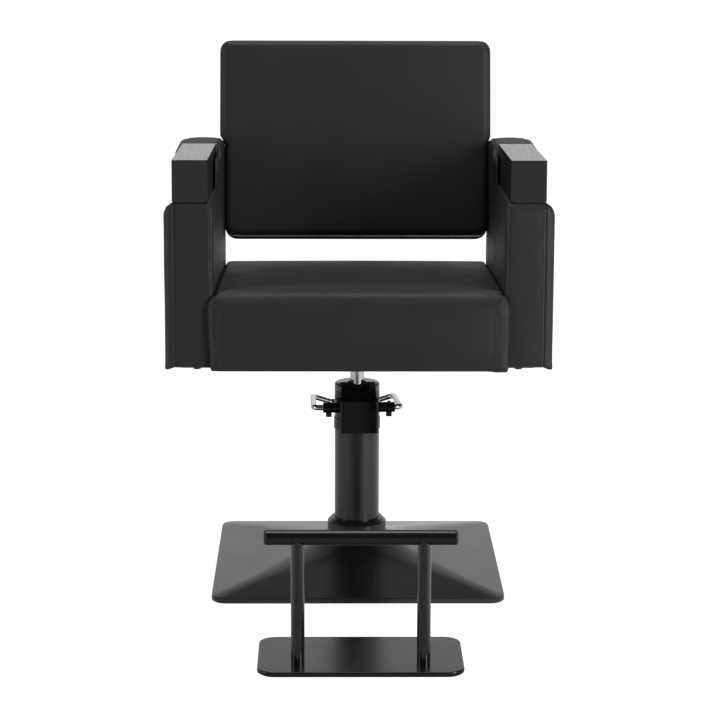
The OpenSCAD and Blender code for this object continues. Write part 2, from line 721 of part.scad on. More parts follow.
// Crowned pad on the side of an arm, rolled in at its edge and stacked along +X from its seam
module side_pad(swell, roll) {
  middle = [(upright_y + arm_rear) / 2, arm_z + arm_back_h / 2];
  rim = arm_outline(roll, pad_edge_shares);
  loft(concat(
      [[for (p = arm_outline(0, pad_edge_shares)) [0, p.x, p.y]]],
      [for (a = [0:22.5:90]) [for (p = arm_outline(roll * (1 - cos(a)), pad_edge_shares))
        [pad_skirt + (swell - pad_skirt) * pad_roll_share * sin(a), p.x, p.y]]],
      [for (s = pad_ring_shares) [for (p = rim) let (q = middle + s * (p - middle))
        [pad_skirt + (swell - pad_skirt) * (pad_roll_share + (1 - pad_roll_share) * smooth(1 - s)),
          q.x, q.y]]]),
    [0, middle.x, middle.y], [swell, middle.x, middle.y]);
}
module outer_pad() color("#2b2c2f") translate([arm_outer, 0, 0]) side_pad(outer_swell, outer_roll);
module inner_pad() color("#2b2c2f") difference() {
  translate([arm_inner, 0, 0]) mirror([1, 0, 0]) side_pad(inner_swell, inner_roll);
  at_back_bolts() pin_x(back_bolt_hole_r, arm_inner - 2 * inner_swell, arm_inner + over);
}

// Painted wooden block on a smaller foot, which leaves a shadow line under it
module armrest() color("#1f1f21") difference() {
  translate([arm_inner + rest_shift, rest_setback - arm_front, arm_z + arm_front_h])
    rotate([-arm_tilt, 0, 0]) {
    translate([rest_foot_inset, rest_foot_inset, 0])
      cube([arm_w - rest_shift - 2 * rest_foot_inset, rest_l - 2 * rest_foot_inset, rest_foot_t]);
    translate([0, 0, rest_foot_t]) cube([arm_w - rest_trim, rest_l, rest_h]);
  }
  at_arm_studs() disc(stud_r + seat_gap, -over, stud_up + seat_gap);
}

module armrest_studs() color("#8d8e90") for (side = [-1, 1]) on_side(side)
  at_arm_studs() disc(stud_r, -stud_down, stud_up);

module arm_frame_left() arm_frame();
module arm_frame_right() on_side(-1) arm_frame();
module arm_band_left() arm_band();
module arm_band_right() on_side(-1) arm_band();
module outer_pad_left() outer_pad();
module outer_pad_right() on_side(-1) outer_pad();
module inner_pad_left() inner_pad();
module inner_pad_right() on_side(-1) inner_pad();
module armrest_left() armrest();
module armrest_right() on_side(-1) armrest();

// One ring of the backrest: narrower between the arms, full width above them
function back_ring(depth, low, inset, corner_r) =
  let (w = back_half_w - inset)
  [for (p = rect_ring([-w, low + inset], [w, back_h - inset],
      max(corner_r - inset, corner_r * under_share), 5, 6, 8))
    let (free = smooth((p.y - pinch_top) / pinch_run))
    [p.x * (back_pinch_half_w + free * (back_half_w - back_pinch_half_w)) / back_half_w, depth, p.y]];

// Face of the backrest: a rolled edge and a crown that stands proud of it
function crown_rings(low, roll, corner_r) =
  let (mid = (low + back_h) / 2, half_w = back_half_w - roll, half_h = (back_h - low) / 2 - roll)
  concat(
    [for (a = [0:22.5:90])
      back_ring(back_swell + roll * (1 - sin(a)), low, roll * (1 - cos(a)), corner_r)],
    [for (s = face_ring_shares) [for (p = back_ring(0, low, roll, corner_r))
      let (q = [p.x * s, (p.z - mid) * s])
      [q.x, back_swell * (1 - dome(q.x / half_w, q.y / half_h)), mid + q.y]]]);

module board_and_battens() {
  half = back_pinch_half_w - back_board_inset;
  low = back_cushion_lift + back_board_inset;
  board_h = back_h - back_board_inset - low;
  translate([-half, back_cushion_t - back_board_t, low]) cube([2 * half, back_board_t, board_h]);
  for (side = [-1, 1]) on_side(side)
    translate([half - batten_w, back_cushion_t - back_board_t - batten_t, low])
      cube([batten_w, batten_t + seat_gap, board_h]);
}

module back_board() color("#b08d5c") in_back() difference() {
  board_and_battens();
  for (h = back_bolt_heights, side = [-1, 1]) on_side(side) translate([0, back_bolt_depth, h])
    pin_x(m8_r + seat_gap, back_pinch_half_w - back_board_inset - back_bolt_bite - seat_gap, arm_outer);
}

module back_cushion() color("#232427") in_back() difference() {
  loft(concat(
      [for (a = [90:-45:0]) back_ring(back_cushion_t - back_tuck * (1 - sin(a)), back_cushion_lift,
        back_tuck * (1 - cos(a)), back_corner_r)],
      crown_rings(back_cushion_lift, back_roll, back_corner_r)),
    [0, back_cushion_t, back_h / 2], [0, 0, (back_cushion_lift + back_h) / 2]);
  board_and_battens();
  for (h = back_bolt_heights) translate([0, back_bolt_depth, h])
    pin_x(back_bolt_hole_r, -arm_outer, arm_outer);
}

// Rear panel: a thinner padded slab, crowned on the outside
module back_panel() color("#232427") in_back()
  translate([0, back_cushion_t + back_panel_t, 0]) rotate([0, 0, 180]) loft(concat(
      [for (a = [90:-45:0]) back_ring(back_panel_t - panel_roll * (1 - sin(a)), 0,
        panel_roll * (1 - cos(a)), back_corner_r)],
      crown_rings(0, panel_roll, back_corner_r)),
    [0, back_panel_t, back_h / 2], [0, 0, back_h / 2]);

// Bolts from under the outer pads, through the arms, into the edges of the back board
module back_bolts() color("#77787a") for (side = [-1, 1]) on_side(side) at_back_bolts() {
  pin_x(m8_r, back_pinch_half_w - back_board_inset - back_bolt_bite, arm_outer - back_bolt_sink);
  pin_x(back_bolt_head_r, arm_outer - back_bolt_sink, arm_outer - back_bolt_sink + back_bolt_head_h);
}

// Cross shaft with the crank that presses the plunger, bored at its ends for the pedal rod
module cross_shaft() color("#161617") in_pump() translate([0, shaft_y, shaft_z]) difference() {
  union() {
    pin_x(shaft_r, -shaft_l / 2, shaft_l / 2);
    translate([-crank_w / 2, 0, -crank_r]) cube([crank_w, crank_reach, 2 * crank_r]);
    translate([0, crank_reach, 0]) pin_x(crank_r, -crank_w / 2, crank_w / 2);
  }
  for (side = [-1, 1]) on_side(side) {
    pin_x(pedal_r + pedal_gap, shaft_l / 2 - pedal_bury - over, shaft_l / 2 + over);
    translate([pedal_bolt_x, 0, 0]) disc(pedal_bolt_r + seat_gap, -shaft_d, shaft_d);
  }
}

pedal_rear_z = shaft_z - pedal_fall;
pedal_half = [[shaft_l / 2 - pedal_bury, shaft_y, shaft_z], [pedal_half_w, shaft_y, shaft_z],
  [pedal_half_w, pedal_reach, pedal_rear_z],
  [pedal_tail_half_w, pedal_tail_y, pedal_rear_z - pedal_tail_drop]];
pedal_corners = concat(pedal_half,
  [for (i = [3:-1:0]) [-pedal_half[i].x, pedal_half[i].y, pedal_half[i].z]]);

// Chrome rod from one shaft end, back round the column to the other
module pedal_loop() color("#b9babc") in_pump() difference() {
  rod_along(bend_path(pedal_corners, pedal_bend, pedal_bend_n), pedal_r, pedal_sides);
  for (side = [-1, 1]) translate([side * pedal_bolt_x, shaft_y, 0])
    disc(pedal_bolt_r + seat_gap, shaft_z - shaft_d, shaft_z + shaft_d);
}

module pedal_grip() color("#111111") in_pump()
  translate([0, pedal_tail_y, pedal_rear_z - pedal_tail_drop]) difference() {
    pin_x(pedal_r + grip_wall, -grip_l / 2, grip_l / 2);
    pin_x(pedal_r + pedal_gap, -grip_l / 2 - over, grip_l / 2 + over);
  }

module pedal_bolts() color("#1a1a1a") in_pump() for (side = [-1, 1])
  translate([side * pedal_bolt_x, shaft_y, shaft_z]) {
    disc(pedal_bolt_r, -shaft_r, shaft_r + pedal_bolt_nub);
    disc(pedal_bolt_head_r, -shaft_r - pedal_bolt_head_h, -shaft_r);
  }

module at_footrest() translate([0, -foot_y, 0]) children();
foot_top = foot_mat_t + foot_t;

module footrest_mat() color("#151515") at_footrest()
  slab(foot_w - 2 * foot_mat_inset, foot_l - 2 * foot_mat_inset, foot_corner_r - foot_mat_inset,
    0, foot_mat_t);

module footrest_plate() color("#141415") at_footrest()
  slab(foot_w, foot_l, foot_corner_r, foot_mat_t, foot_top);

// Tubes cut to the round of the bar that they carry
module footrest_posts() color("#141415") difference() {
  for (side = [-1, 1]) translate([side * post_spacing / 2, post_y, 0])
    ring(post_d / 2, post_d / 2 - post_wall, foot_top, bar_z);
  translate([0, post_y, bar_z]) pin_x(bar_d / 2 + seat_gap, -bar_l, bar_l);
}

module footrest_bar() color("#141415") translate([0, post_y, bar_z]) difference() {
  pin_x(bar_d / 2, bar_cap_l - bar_l / 2, bar_l / 2 - bar_cap_l);
  pin_x(bar_d / 2 - bar_wall, -bar_l, bar_l);
}

module footrest_caps() color("#101011") for (side = [-1, 1]) on_side(side)
  translate([bar_l / 2 - bar_cap_l, post_y, bar_z]) rotate([0, 90, 0]) rotate_extrude() polygon(concat(
    [[0, -bar_plug_l], [bar_d / 2 - bar_wall - seat_gap, -bar_plug_l], [bar_d / 2 - bar_wall - seat_gap, 0],
     [bar_d / 2, 0]],
    arc([bar_d / 2 - bar_cap_round, bar_cap_l - bar_cap_round], bar_cap_round, 0, 90, 6), [[0, bar_cap_l]]));

base_mat();
base_plate();
base_cover();
base_collar();
pump_foot();
foot_bolts();
column_tube();
pump_cylinder();
pump_head();
head_cap();
rod_bush();
rod_wiper();
pump_cover();
plunger_spring();
pump_plunger();
piston();
piston_seal();
piston_rod();
seat_hub();
rod_screw();
front_rail();
rear_rail();
seat_bolts();
seat_board();
seat_cushion();
arm_bolts();
arm_frame_left();
arm_frame_right();
arm_band_left();
arm_band_right();
outer_pad_left();
outer_pad_right();
inner_pad_left();
inner_pad_right();
armrest_left();
armrest_right();
armrest_studs();
back_board();
back_cushion();
back_panel();
back_bolts();
cross_shaft();
pedal_loop();
pedal_grip();
pedal_bolts();
footrest_mat();
footrest_plate();
footrest_posts();
footrest_bar();
footrest_caps();
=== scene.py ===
import math

import bmesh
import bpy
import numpy as np
from mathutils import Matrix, Vector, kdtree, noise

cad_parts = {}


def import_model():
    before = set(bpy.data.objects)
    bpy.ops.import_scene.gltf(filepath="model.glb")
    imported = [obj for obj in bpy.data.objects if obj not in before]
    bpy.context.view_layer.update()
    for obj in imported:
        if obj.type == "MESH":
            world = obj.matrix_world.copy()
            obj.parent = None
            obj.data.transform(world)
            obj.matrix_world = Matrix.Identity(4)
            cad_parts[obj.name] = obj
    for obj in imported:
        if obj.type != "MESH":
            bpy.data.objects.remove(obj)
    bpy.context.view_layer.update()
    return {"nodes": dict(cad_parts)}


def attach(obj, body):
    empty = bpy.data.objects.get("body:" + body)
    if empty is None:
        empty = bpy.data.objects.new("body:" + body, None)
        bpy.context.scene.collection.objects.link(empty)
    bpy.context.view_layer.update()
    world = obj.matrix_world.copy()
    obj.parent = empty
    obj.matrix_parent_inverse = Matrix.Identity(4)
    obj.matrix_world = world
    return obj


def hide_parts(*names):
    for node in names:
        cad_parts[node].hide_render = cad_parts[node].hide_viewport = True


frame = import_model()
NODES = frame["nodes"]
MATERIALS = {}

# Camera, fitted to the straight edges of the photograph
CAM_PLACE = Vector((-0.050, -4.372, 1.269))
CAM_YAW = math.radians(0.72)
CAM_PITCH = math.radians(11.59)
CAM_ROLL = math.radians(0.18)
CAM_LENS = 126.25
CAM_SENSOR = 36.0

# Sizes are in metres, in the frame of the CAD

ROLL_STEPS = 8            # of a rolled edge or a rounded corner


def smooth(t):
    """An eased step from 0 to 1."""
    c = np.clip(t, 0.0, 1.0)
    return c * c * (3.0 - 2.0 * c)


def quarter(d, r):
    """How far a rolled edge of radius r is drawn in at a distance d from the end."""
    c = np.clip(r - d, 0, r)
    return r - np.sqrt(np.maximum(r * r - c * c, 0))


# Mesh helpers

def linked(name, data):
    """An object of the scene made from data."""
    made = bpy.data.objects.new(name, data)
    bpy.context.scene.collection.objects.link(made)
    return made


def closed_mesh(name, points, faces):
    """A mesh whose faces all look outward."""
    data = bpy.data.meshes.new(name)
    data.from_pydata([tuple(p) for p in points], [], faces)
    edit = bmesh.new()
    edit.from_mesh(data)
    bmesh.ops.recalc_face_normals(edit, faces=edit.faces)
    edit.to_mesh(data)
    edit.free()
    return data


def mesh_piece(name, points, faces, slot, body, replaced=(), finish=None):
    """A piece that rides on a body and stands for the CAD nodes it replaces."""
    data = closed_mesh(name, points, faces)
    data.shade_smooth()
    data.materials.append(MATERIALS[finish or slot])
    piece = linked(name, data)
    dress(piece, body, replaced)
    return piece


def leather(name, points, faces, replaced=()):
    mesh_piece(name, points, faces, "leatherette", "seat", replaced)


def dress(piece, body, replaced=()):
    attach(piece, body)
    if replaced:
        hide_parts(*replaced)


def sharpen(piece, degrees):
    """Keeps the edges that turn by more than this crisp."""
    piece.data.set_sharp_from_angle(angle=math.radians(degrees))


def vertex_normals(points, faces):
    """Normals of the points, in which a face without area has no say."""
    data = closed_mesh("normals", points, faces)
    edit = bmesh.new()
    edit.from_mesh(data)
    edit.normal_update()
    normals = np.array([v.normal[:] for v in edit.verts])
    edit.free()
    bpy.data.meshes.remove(data)
    return normals


def tree_of(points):
    """Finds the points next to a place."""
    tree = kdtree.KDTree(len(points))
    for i, p in enumerate(points):
        tree.insert(p, i)
    tree.balance()
    return tree


def loft_faces(rings, count, first_cap=None, last_cap=None):
    """Quads between closed rings of the same count, with a fan on each centre point."""
    faces = []
    for k in range(rings - 1):
        for i in range(count):
            j = (i + 1) % count
            faces.append((k * count + i, k * count + j, (k + 1) * count + j, (k + 1) * count + i))
    if first_cap is not None:
        faces += [(first_cap, (i + 1) % count, i) for i in range(count)]
    if last_cap is not None:
        base = (rings - 1) * count
        faces += [(last_cap, base + i, base + (i + 1) % count) for i in range(count)]
    return faces


def rod_faces(rings, count):
    """Quads between closed rings, with one polygon on either end."""
    last = (rings - 1) * count
    ends = [tuple(range(count)), tuple(last + i for i in range(count))]
    return loft_faces(rings, count) + ends


def roll_steps(radius, n=ROLL_STEPS):
    """Distances from an edge at which a quarter-round is sampled evenly."""
    return [radius * (1 - math.cos(math.pi / 2 * k / n)) for k in range(n + 1)]


def roll_up_to(end, radius, n):
    """Places along the quarter-round before an end, the end included."""
    return [end - d for d in reversed(roll_steps(radius, n)[:-1])]


def spread(start, end, step):
    """Even places between two ends, without the ends."""
    n = max(1, round(abs(end - start) / step))
    return [start + (end - start) * k / n for k in range(1, n)]


def lines(half, near_edge, step, extra=()):
    """Grid lines from -half to half: close together along the edges, even in between."""
    side = sorted(set([round(half - d, 6) for d in near_edge] + [round(e, 6) for e in extra]))
    inner = side[0]
    return sorted([-s for s in side] + spread(-inner, inner, step) + side)


def lines_between(low, high, near_low, near_high, step):
    """Grid lines from low to high: close together at both ends, even in between."""
    a = [low + d for d in near_low]
    b = sorted(high - d for d in near_high)
    return a + spread(a[-1], b[0], step) + b


def box_shell(us, vs, levels):
    """A closed grid: a face of us by vs lines at the first level, walls through the levels, a
    face at the last. Returns the line numbers (u, v, level) of each point, and the quads."""
    nu, nv, nl = len(us), len(vs), len(levels)
    index = {}

    def at(i, j, k):
        return index.setdefault((i, j, k), len(index))

    faces = []
    for k in (0, nl - 1):
        for i in range(nu - 1):
            for j in range(nv - 1):
                faces.append((at(i, j, k), at(i + 1, j, k), at(i + 1, j + 1, k), at(i, j + 1, k)))
    loop = [(i, 0) for i in range(nu)] + [(nu - 1, j) for j in range(1, nv)]
    loop += [(i, nv - 1) for i in range(nu - 2, -1, -1)] + [(0, j) for j in range(nv - 2, 0, -1)]
    for k in range(nl - 1):
        for n in range(len(loop)):
            (a, b), (c, d) = loop[n], loop[(n + 1) % len(loop)]
            faces.append((at(a, b, k), at(c, d, k), at(c, d, k + 1), at(a, b, k + 1)))
    return np.array(list(index)), faces


def border_of(u, v, half_u, low_v, high_v):
    """Distance of a point of a rectangle from its nearest edge."""
    return np.minimum(np.minimum(u + half_u, half_u - u), np.minimum(v - low_v, high_v - v))


def round_corner(x, z, half_x, low_z, high_z, r_high, r_low, narrow=1.0):
    """Moves a point of a rectangle so that its corners become arcs, made narrow across if asked."""
    r = np.where(z > (low_z + high_z) / 2, r_high, r_low)
    x, half_x = x / narrow, half_x / narrow
    qx = np.clip(x, -half_x + r, half_x - r)
    qz = np.clip(z, low_z + r, high_z - r)
    dx, dz = x - qx, z - qz
    size = np.hypot(dx, dz)
    reach = np.maximum(np.abs(dx), np.abs(dz))
    k = np.where(size > 1e-9, reach / np.maximum(size, 1e-9), 1.0)
    return (qx + dx * k) * narrow, qz + dz * k


def groove(distance, depth, width):
    return depth * np.exp(-(distance / width) ** 2)


def undulation(points, scale, shift):
    """Smooth noise from -1 to 1, the same at each run."""
    away = Vector((shift, 0.7 * shift, 1.3 * shift))
    return np.array([noise.noise(Vector(p) * scale + away) for p in points])


PUCKER_SIZE = 0.0005
PUCKER_REACH = 0.012
PUCKER_SCALE = 75.0


def puckers(points, distance):
    """Small gathers along a seam that die out away from it."""
    near = np.exp(-(distance / PUCKER_REACH) ** 2)
    return PUCKER_SIZE * near * undulation(points, PUCKER_SCALE, shift=3.0)


# Turned and bent pieces

TUBE_SIDES = 28
CRISP_TURN = 50           # degrees


def lathe(name, profile, slot, body, replaced, turns=72, finish=None):
    """A turned piece about the Z axis from a closed profile of radius and height."""
    points, faces = [], []
    n = len(profile)
    for k in range(turns):
        a = 2 * math.pi * k / turns
        m = (k + 1) % turns
        points += [(r * math.cos(a), r * math.sin(a), z) for r, z in profile]
        faces += [(k * n + i, m * n + i, m * n + (i + 1) % n, k * n + (i + 1) % n) for i in range(n)]
    piece = mesh_piece(name, points, faces, slot, body, replaced, finish=finish)
    sharpen(piece, CRISP_TURN)
    return piece


def bent_path(corners, radius, n):
    """A line through corners with its bends rounded."""
    out = [Vector(corners[0])]
    for before, corner, after in zip(corners, corners[1:], corners[2:]):
        c = Vector(corner)
        a, b = (Vector(before) - c).normalized(), (Vector(after) - c).normalized()
        reach = radius / math.tan(a.angle(b) / 2)
        p, q = c + a * reach, c + b * reach
        for k in range(n + 1):
            t = k / n
            out.append(p * (1 - t) ** 2 + c * (2 * t * (1 - t)) + q * t ** 2)
    return out + [Vector(corners[-1])]


def tube(name, path, radius, slot, body, replaced):
    """A round rod along a path, closed at its ends."""
    turns = [2 * math.pi * k / TUBE_SIDES for k in range(TUBE_SIDES)]
    points = []
    for i, p in enumerate(path):
        way = (path[min(i + 1, len(path) - 1)] - path[max(i - 1, 0)]).normalized()
        side = way.cross(Vector((0, 0, 1))).normalized()
        up = side.cross(way)
        points += [p + (side * math.cos(a) + up * math.sin(a)) * radius for a in turns]
    piece = mesh_piece(name, points, rod_faces(len(path), TUBE_SIDES), slot, body, replaced)
    sharpen(piece, CRISP_TURN)


# Cloth

CLOTH_FRAMES = 16
CLOTH_PRESSURE = 4.0
CLOTH_NEIGHBOURS = 6
CLOTH_BLUR = 0.002


def set_cloth(body):
    """Cloth under pressure and without weight, held at the points of its group."""
    cloth = body.modifiers.new("cloth", "CLOTH")
    cloth.collision_settings.use_collision = False
    settings = cloth.settings
    settings.quality = 6
    settings.mass = 0.4
    settings.tension_stiffness = 40.0
    settings.compression_stiffness = 40.0
    settings.shear_stiffness = 10.0
    settings.bending_stiffness = 2.0
    settings.use_pressure = True
    settings.uniform_pressure_force = CLOTH_PRESSURE
    settings.effector_weights.gravity = 0.0
    settings.vertex_group_mass = "held"


def inflated(points, faces, held):
    """How far each point of a cushion moves when it is blown up as cloth, held at its seams."""
    body = linked("cloth", closed_mesh("cloth", points, faces))
    group = body.vertex_groups.new(name="held")
    group.add([int(i) for i in np.nonzero(held)[0]], 1.0, "REPLACE")
    set_cloth(body)
    scene = bpy.context.scene
    for k in range(1, CLOTH_FRAMES + 1):
        scene.frame_set(k)
    done = body.evaluated_get(bpy.context.evaluated_depsgraph_get())
    moved = np.array([v.co[:] for v in done.data.vertices]) - points
    scene.frame_set(1)
    bpy.data.objects.remove(body)
    return moved


def swollen(points, faces, held, onto, cap):
    """The movement of a coarse cushion, kept under a cap, for each point of the fine mesh."""
    moved = inflated(points, faces, held)
    length = np.linalg.norm(moved, axis=1)
    k = cap * np.tanh(length / cap) / np.maximum(length, 1e-9)
    moved = moved * k[:, None]
    tree = tree_of(points)
    out = np.zeros((len(onto), 3))
    for n, p in enumerate(onto):
        found = tree.find_n(Vector(p), CLOTH_NEIGHBOURS)
        weights = np.array([1 / (d + CLOTH_BLUR) ** 2 for _, _, d in found])
        out[n] = (moved[[i for _, i, _ in found]] * weights[:, None]).sum(0) / weights.sum()
    return out


# Stitches

STITCH_L = 0.0042
STITCH_PITCH = 0.0056
STITCH_R = 0.00042
STITCH_LIFT = 0.0002
STITCH_AHEAD = 0.0005     # how far ahead a thread's direction is read
STITCH_OFF = 0.0034       # distance of the seat's rows from their seams
ARM_STITCH_OFF = 0.0032   # and of the arms' rows from theirs
ARM_STITCH_LOW = 0.004    # how high above an arm's lower side its rows start
SEAT_STITCH_END = 0.002   # how far in front of the arms the seat's rows end
STITCH_SIDES = 6
# Along a thread: the place as a share of its length, then thickness and height as shares of its radius
STITCH_SHARES = ((0.0, 0.25, -0.6), (0.22, 1.0, 0.5), (0.5, 1.1, 0.8), (0.78, 1.0, 0.5), (1.0, 0.25, -0.6))


def nearest(points, path):
    """The points of a path put on the surface next to them, across the path only."""
    tree = tree_of(points)
    out = path.copy()
    for n, p in enumerate(path):
        found, _, _ = tree.find(Vector(p))
        out[n, 1:] = found[1:]
    return out


def stitch_row(name, path, normals):
    """Short raised threads along a path that lies on a seam."""
    path = [Vector(p) for p in path]
    normals = [Vector(n) for n in normals]
    lengths = [0.0]
    for a, b in zip(path, path[1:]):
        lengths.append(lengths[-1] + (b - a).length)

    def sample(s):
        k = min(max(np.searchsorted(lengths, s) - 1, 0), len(path) - 2)
        t = (s - lengths[k]) / max(lengths[k + 1] - lengths[k], 1e-9)
        return path[k].lerp(path[k + 1], t), normals[k].lerp(normals[k + 1], t).normalized()

    turns = [math.tau * a / STITCH_SIDES for a in range(STITCH_SIDES)]
    thread = rod_faces(len(STITCH_SHARES), STITCH_SIDES)
    points, faces = [], []
    for n in range(int(lengths[-1] / STITCH_PITCH)):
        start = n * STITCH_PITCH + (STITCH_PITCH - STITCH_L) / 2
        faces += [tuple(len(points) + i for i in face) for face in thread]
        for share, thick, high in STITCH_SHARES:
            p, up = sample(start + share * STITCH_L)
            ahead, _ = sample(start + share * STITCH_L + STITCH_AHEAD)
            along = (ahead - p).normalized() if (ahead - p).length > 1e-7 else Vector((0, 0, 1))
            across = along.cross(up).normalized()
            middle = p + up * (STITCH_LIFT + high * STITCH_R)
            size = thick * STITCH_R
            points += [middle + size * (math.cos(a) * across + math.sin(a) * up) for a in turns]
    leather(name, points, faces)


# Materials

class Graph:
    """Short calls for the nodes of a shader tree."""

    def __init__(self, tree):
        self.nodes = tree.nodes
        self.links = tree.links

    def join(self, value, socket):
        """Links an output to a socket, or sets the socket to a value."""
        if isinstance(value, bpy.types.NodeSocket):
            self.links.new(value, socket)
        else:
            socket.default_value = value

    def add(self, kind):
        return self.nodes.new("ShaderNode" + kind)

    def fill(self, node, inputs):
        """Sets or links the inputs of a node, and returns its outputs."""
        for key, value in inputs.items():
            self.join(value, node.inputs[key])
        return node.outputs

    def math(self, operation, a, b):
        node = self.add("Math")
        node.operation = operation
        return self.fill(node, {0: a, 1: b})["Value"]

    def span(self, value, low, high, from_low=0.0, from_high=1.0, kind="LINEAR"):
        node = self.add("MapRange")
        node.interpolation_type = kind
        limits = {"From Min": from_low, "From Max": from_high, "To Min": low, "To Max": high}
        return self.fill(node, {"Value": value, **limits})["Result"]

    def ease(self, value, run, low, high):
        return self.span(value, low, high, *run, "SMOOTHSTEP")

    def mix(self, share, a, b, kind="FLOAT"):
        node = self.add("Mix")
        node.data_type = kind
        return self.fill(node, {"Factor": share, "A": a, "B": b})["Result"]

    def parts(self, vector):
        return self.fill(self.add("SeparateXYZ"), {"Vector": vector})


class Shader(Graph):
    """A material that is listed under its name."""

    def __init__(self, name, color, roughness, metallic=0.0, specular=0.5):
        material = bpy.data.materials.new(name)
        material.use_nodes = True
        MATERIALS[name] = material
        super().__init__(material.node_tree)
        self.shader = self.nodes["Principled BSDF"]
        self.set("Base Color", (*color, 1.0))
        self.set("Roughness", roughness)
        self.set("Metallic", metallic)
        self.set("Specular IOR Level", specular)
        self.place = self.add("TexCoord").outputs["Object"]

    def set(self, key, value):
        """Sets or links one of the shader's own sockets."""
        self.join(value, self.shader.inputs[key])

    def stretched(self, *scale):
        return self.fill(self.add("Mapping"), {"Vector": self.place, "Scale": scale})["Vector"]

    def noise(self, scale, detail=2.0, place=None):
        inputs = {"Vector": place or self.place, "Scale": scale, "Detail": detail, "Roughness": 0.5}
        return self.fill(self.add("TexNoise"), inputs)["Fac"]

    def cell_edges(self, scale):
        node = self.add("TexVoronoi")
        node.feature = "DISTANCE_TO_EDGE"
        return self.fill(node, {"Vector": self.place, "Scale": scale})["Distance"]

    def tint(self, share, low, high):
        """Varies the colour between two."""
        self.set("Base Color", self.mix(share, (*low, 1.0), (*high, 1.0), "RGBA"))

    def rough(self, share, low, high):
        """Varies the roughness between two values over the middle of a noise."""
        self.set("Roughness", self.span(share, low, high, 0.3, 0.7))

    def bump(self, height, depth, strength):
        """Adds a relief to the ones that the shader has."""
        inputs = {"Height": height, "Distance": depth, "Strength": strength}
        before = self.shader.inputs["Normal"].links
        if before:
            inputs["Normal"] = before[0].from_socket
        self.set("Normal", self.fill(self.add("Bump"), inputs)["Normal"])


def leatherette():
    s = Shader("leatherette", (0.0195, 0.0195, 0.021), 0.54, specular=0.33)
    grain = s.cell_edges(620.0)
    s.tint(s.noise(7.0, 3.0), (0.0160, 0.0160, 0.0172), (0.0225, 0.0225, 0.0240))
    s.rough(s.noise(18.0, 3.0), 0.50, 0.60)
    s.bump(s.span(grain, 0.0, 1.0, 0.0, 0.35), 0.00009, 0.40)
    s.bump(s.noise(1900.0), 0.00004, 0.25)
    s.bump(s.noise(26.0), 0.0004, 0.06)


def painted_wood():
    s = Shader("painted_wood", (0.010, 0.010, 0.011), 0.3, specular=0.60)
    along = s.stretched(1.0, 0.06, 1.0)
    fibres = s.noise(420.0, 3.0, along)
    s.tint(s.noise(60.0, place=along), (0.0085, 0.0085, 0.009), (0.013, 0.013, 0.0135))
    s.rough(fibres, 0.17, 0.24)
    s.bump(fibres, 0.00002, 0.10)


def satin_steel():
    s = Shader("satin_black_steel", (0.008, 0.008, 0.0085), 0.25)
    s.tint(s.noise(35.0, 3.0), (0.0065, 0.0065, 0.0068), (0.0095, 0.0095, 0.0100))
    s.rough(s.noise(22.0), 0.225, 0.265)
    s.bump(s.noise(1500.0, 1.0), 0.00001, 0.10)


def gloss_steel():
    s = Shader("gloss_black_steel", (0.0025, 0.0025, 0.0027), 0.08, specular=0.24)
    s.tint(s.noise(40.0), (0.0020, 0.0020, 0.0022), (0.0034, 0.0034, 0.0036))
    s.rough(s.noise(30.0, 3.0), 0.06, 0.11)
    s.bump(s.noise(240.0, 1.0), 0.00005, 0.10)


def footrest_steel():
    s = Shader("footrest_black_steel", (0.006, 0.006, 0.0065), 0.25, specular=0.42)
    s.tint(s.noise(40.0), (0.0050, 0.0050, 0.0053), (0.0078, 0.0078, 0.0082))
    s.rough(s.noise(26.0), 0.225, 0.265)
    s.bump(s.noise(900.0, 1.0), 0.00001, 0.04)


def post_steel():
    s = Shader("post_black_steel", (0.0045, 0.0045, 0.0049), 0.11, specular=0.72)
    s.tint(s.noise(40.0), (0.0038, 0.0038, 0.0041), (0.0056, 0.0056, 0.0060))
    s.rough(s.noise(26.0, 3.0), 0.09, 0.14)
    s.bump(s.noise(500.0, 1.0), 0.00001, 0.10)


def bare_steel():
    s = Shader("bare_steel", (0.42, 0.42, 0.43), 0.35, metallic=1.0)
    s.tint(s.noise(90.0, 3.0), (0.36, 0.36, 0.37), (0.48, 0.48, 0.49))
    s.rough(s.noise(300.0), 0.28, 0.44)
    s.bump(s.noise(900.0), 0.00004, 0.4)


def chrome():
    s = Shader("chrome", (0.50, 0.50, 0.51), 0.1, metallic=1.0)
    s.tint(s.noise(50.0), (0.47, 0.47, 0.48), (0.53, 0.53, 0.54))
    s.rough(s.noise(120.0, 3.0), 0.07, 0.14)
    s.bump(s.noise(700.0, 1.0, s.stretched(1.0, 1.0, 0.05)), 0.00002, 0.2)


def bronze():
    s = Shader("bronze", (0.55, 0.40, 0.19), 0.32, metallic=1.0)
    s.tint(s.noise(80.0, 3.0), (0.48, 0.34, 0.16), (0.60, 0.44, 0.22))
    s.rough(s.noise(260.0), 0.26, 0.40)


def black_rubber():
    s = Shader("black_rubber", (0.016, 0.016, 0.016), 0.75, specular=0.35)
    s.tint(s.noise(45.0, 3.0), (0.013, 0.013, 0.013), (0.021, 0.021, 0.021))
    s.bump(s.noise(1300.0), 0.00008, 0.5)


def black_plastic():
    s = Shader("black_plastic", (0.012, 0.012, 0.012), 0.4)
    s.tint(s.noise(60.0), (0.010, 0.010, 0.010), (0.015, 0.015, 0.0155))
    s.bump(s.noise(1100.0, 1.0), 0.00003, 0.3)


def plywood():
    s = Shader("plywood", (0.55, 0.40, 0.23), 0.6, specular=0.3)
    fibres = s.noise(160.0, 4.0, s.stretched(1.0, 0.08, 1.0))
    s.tint(fibres, (0.46, 0.32, 0.17), (0.64, 0.48, 0.29))
    s.bump(fibres, 0.0002, 0.4)


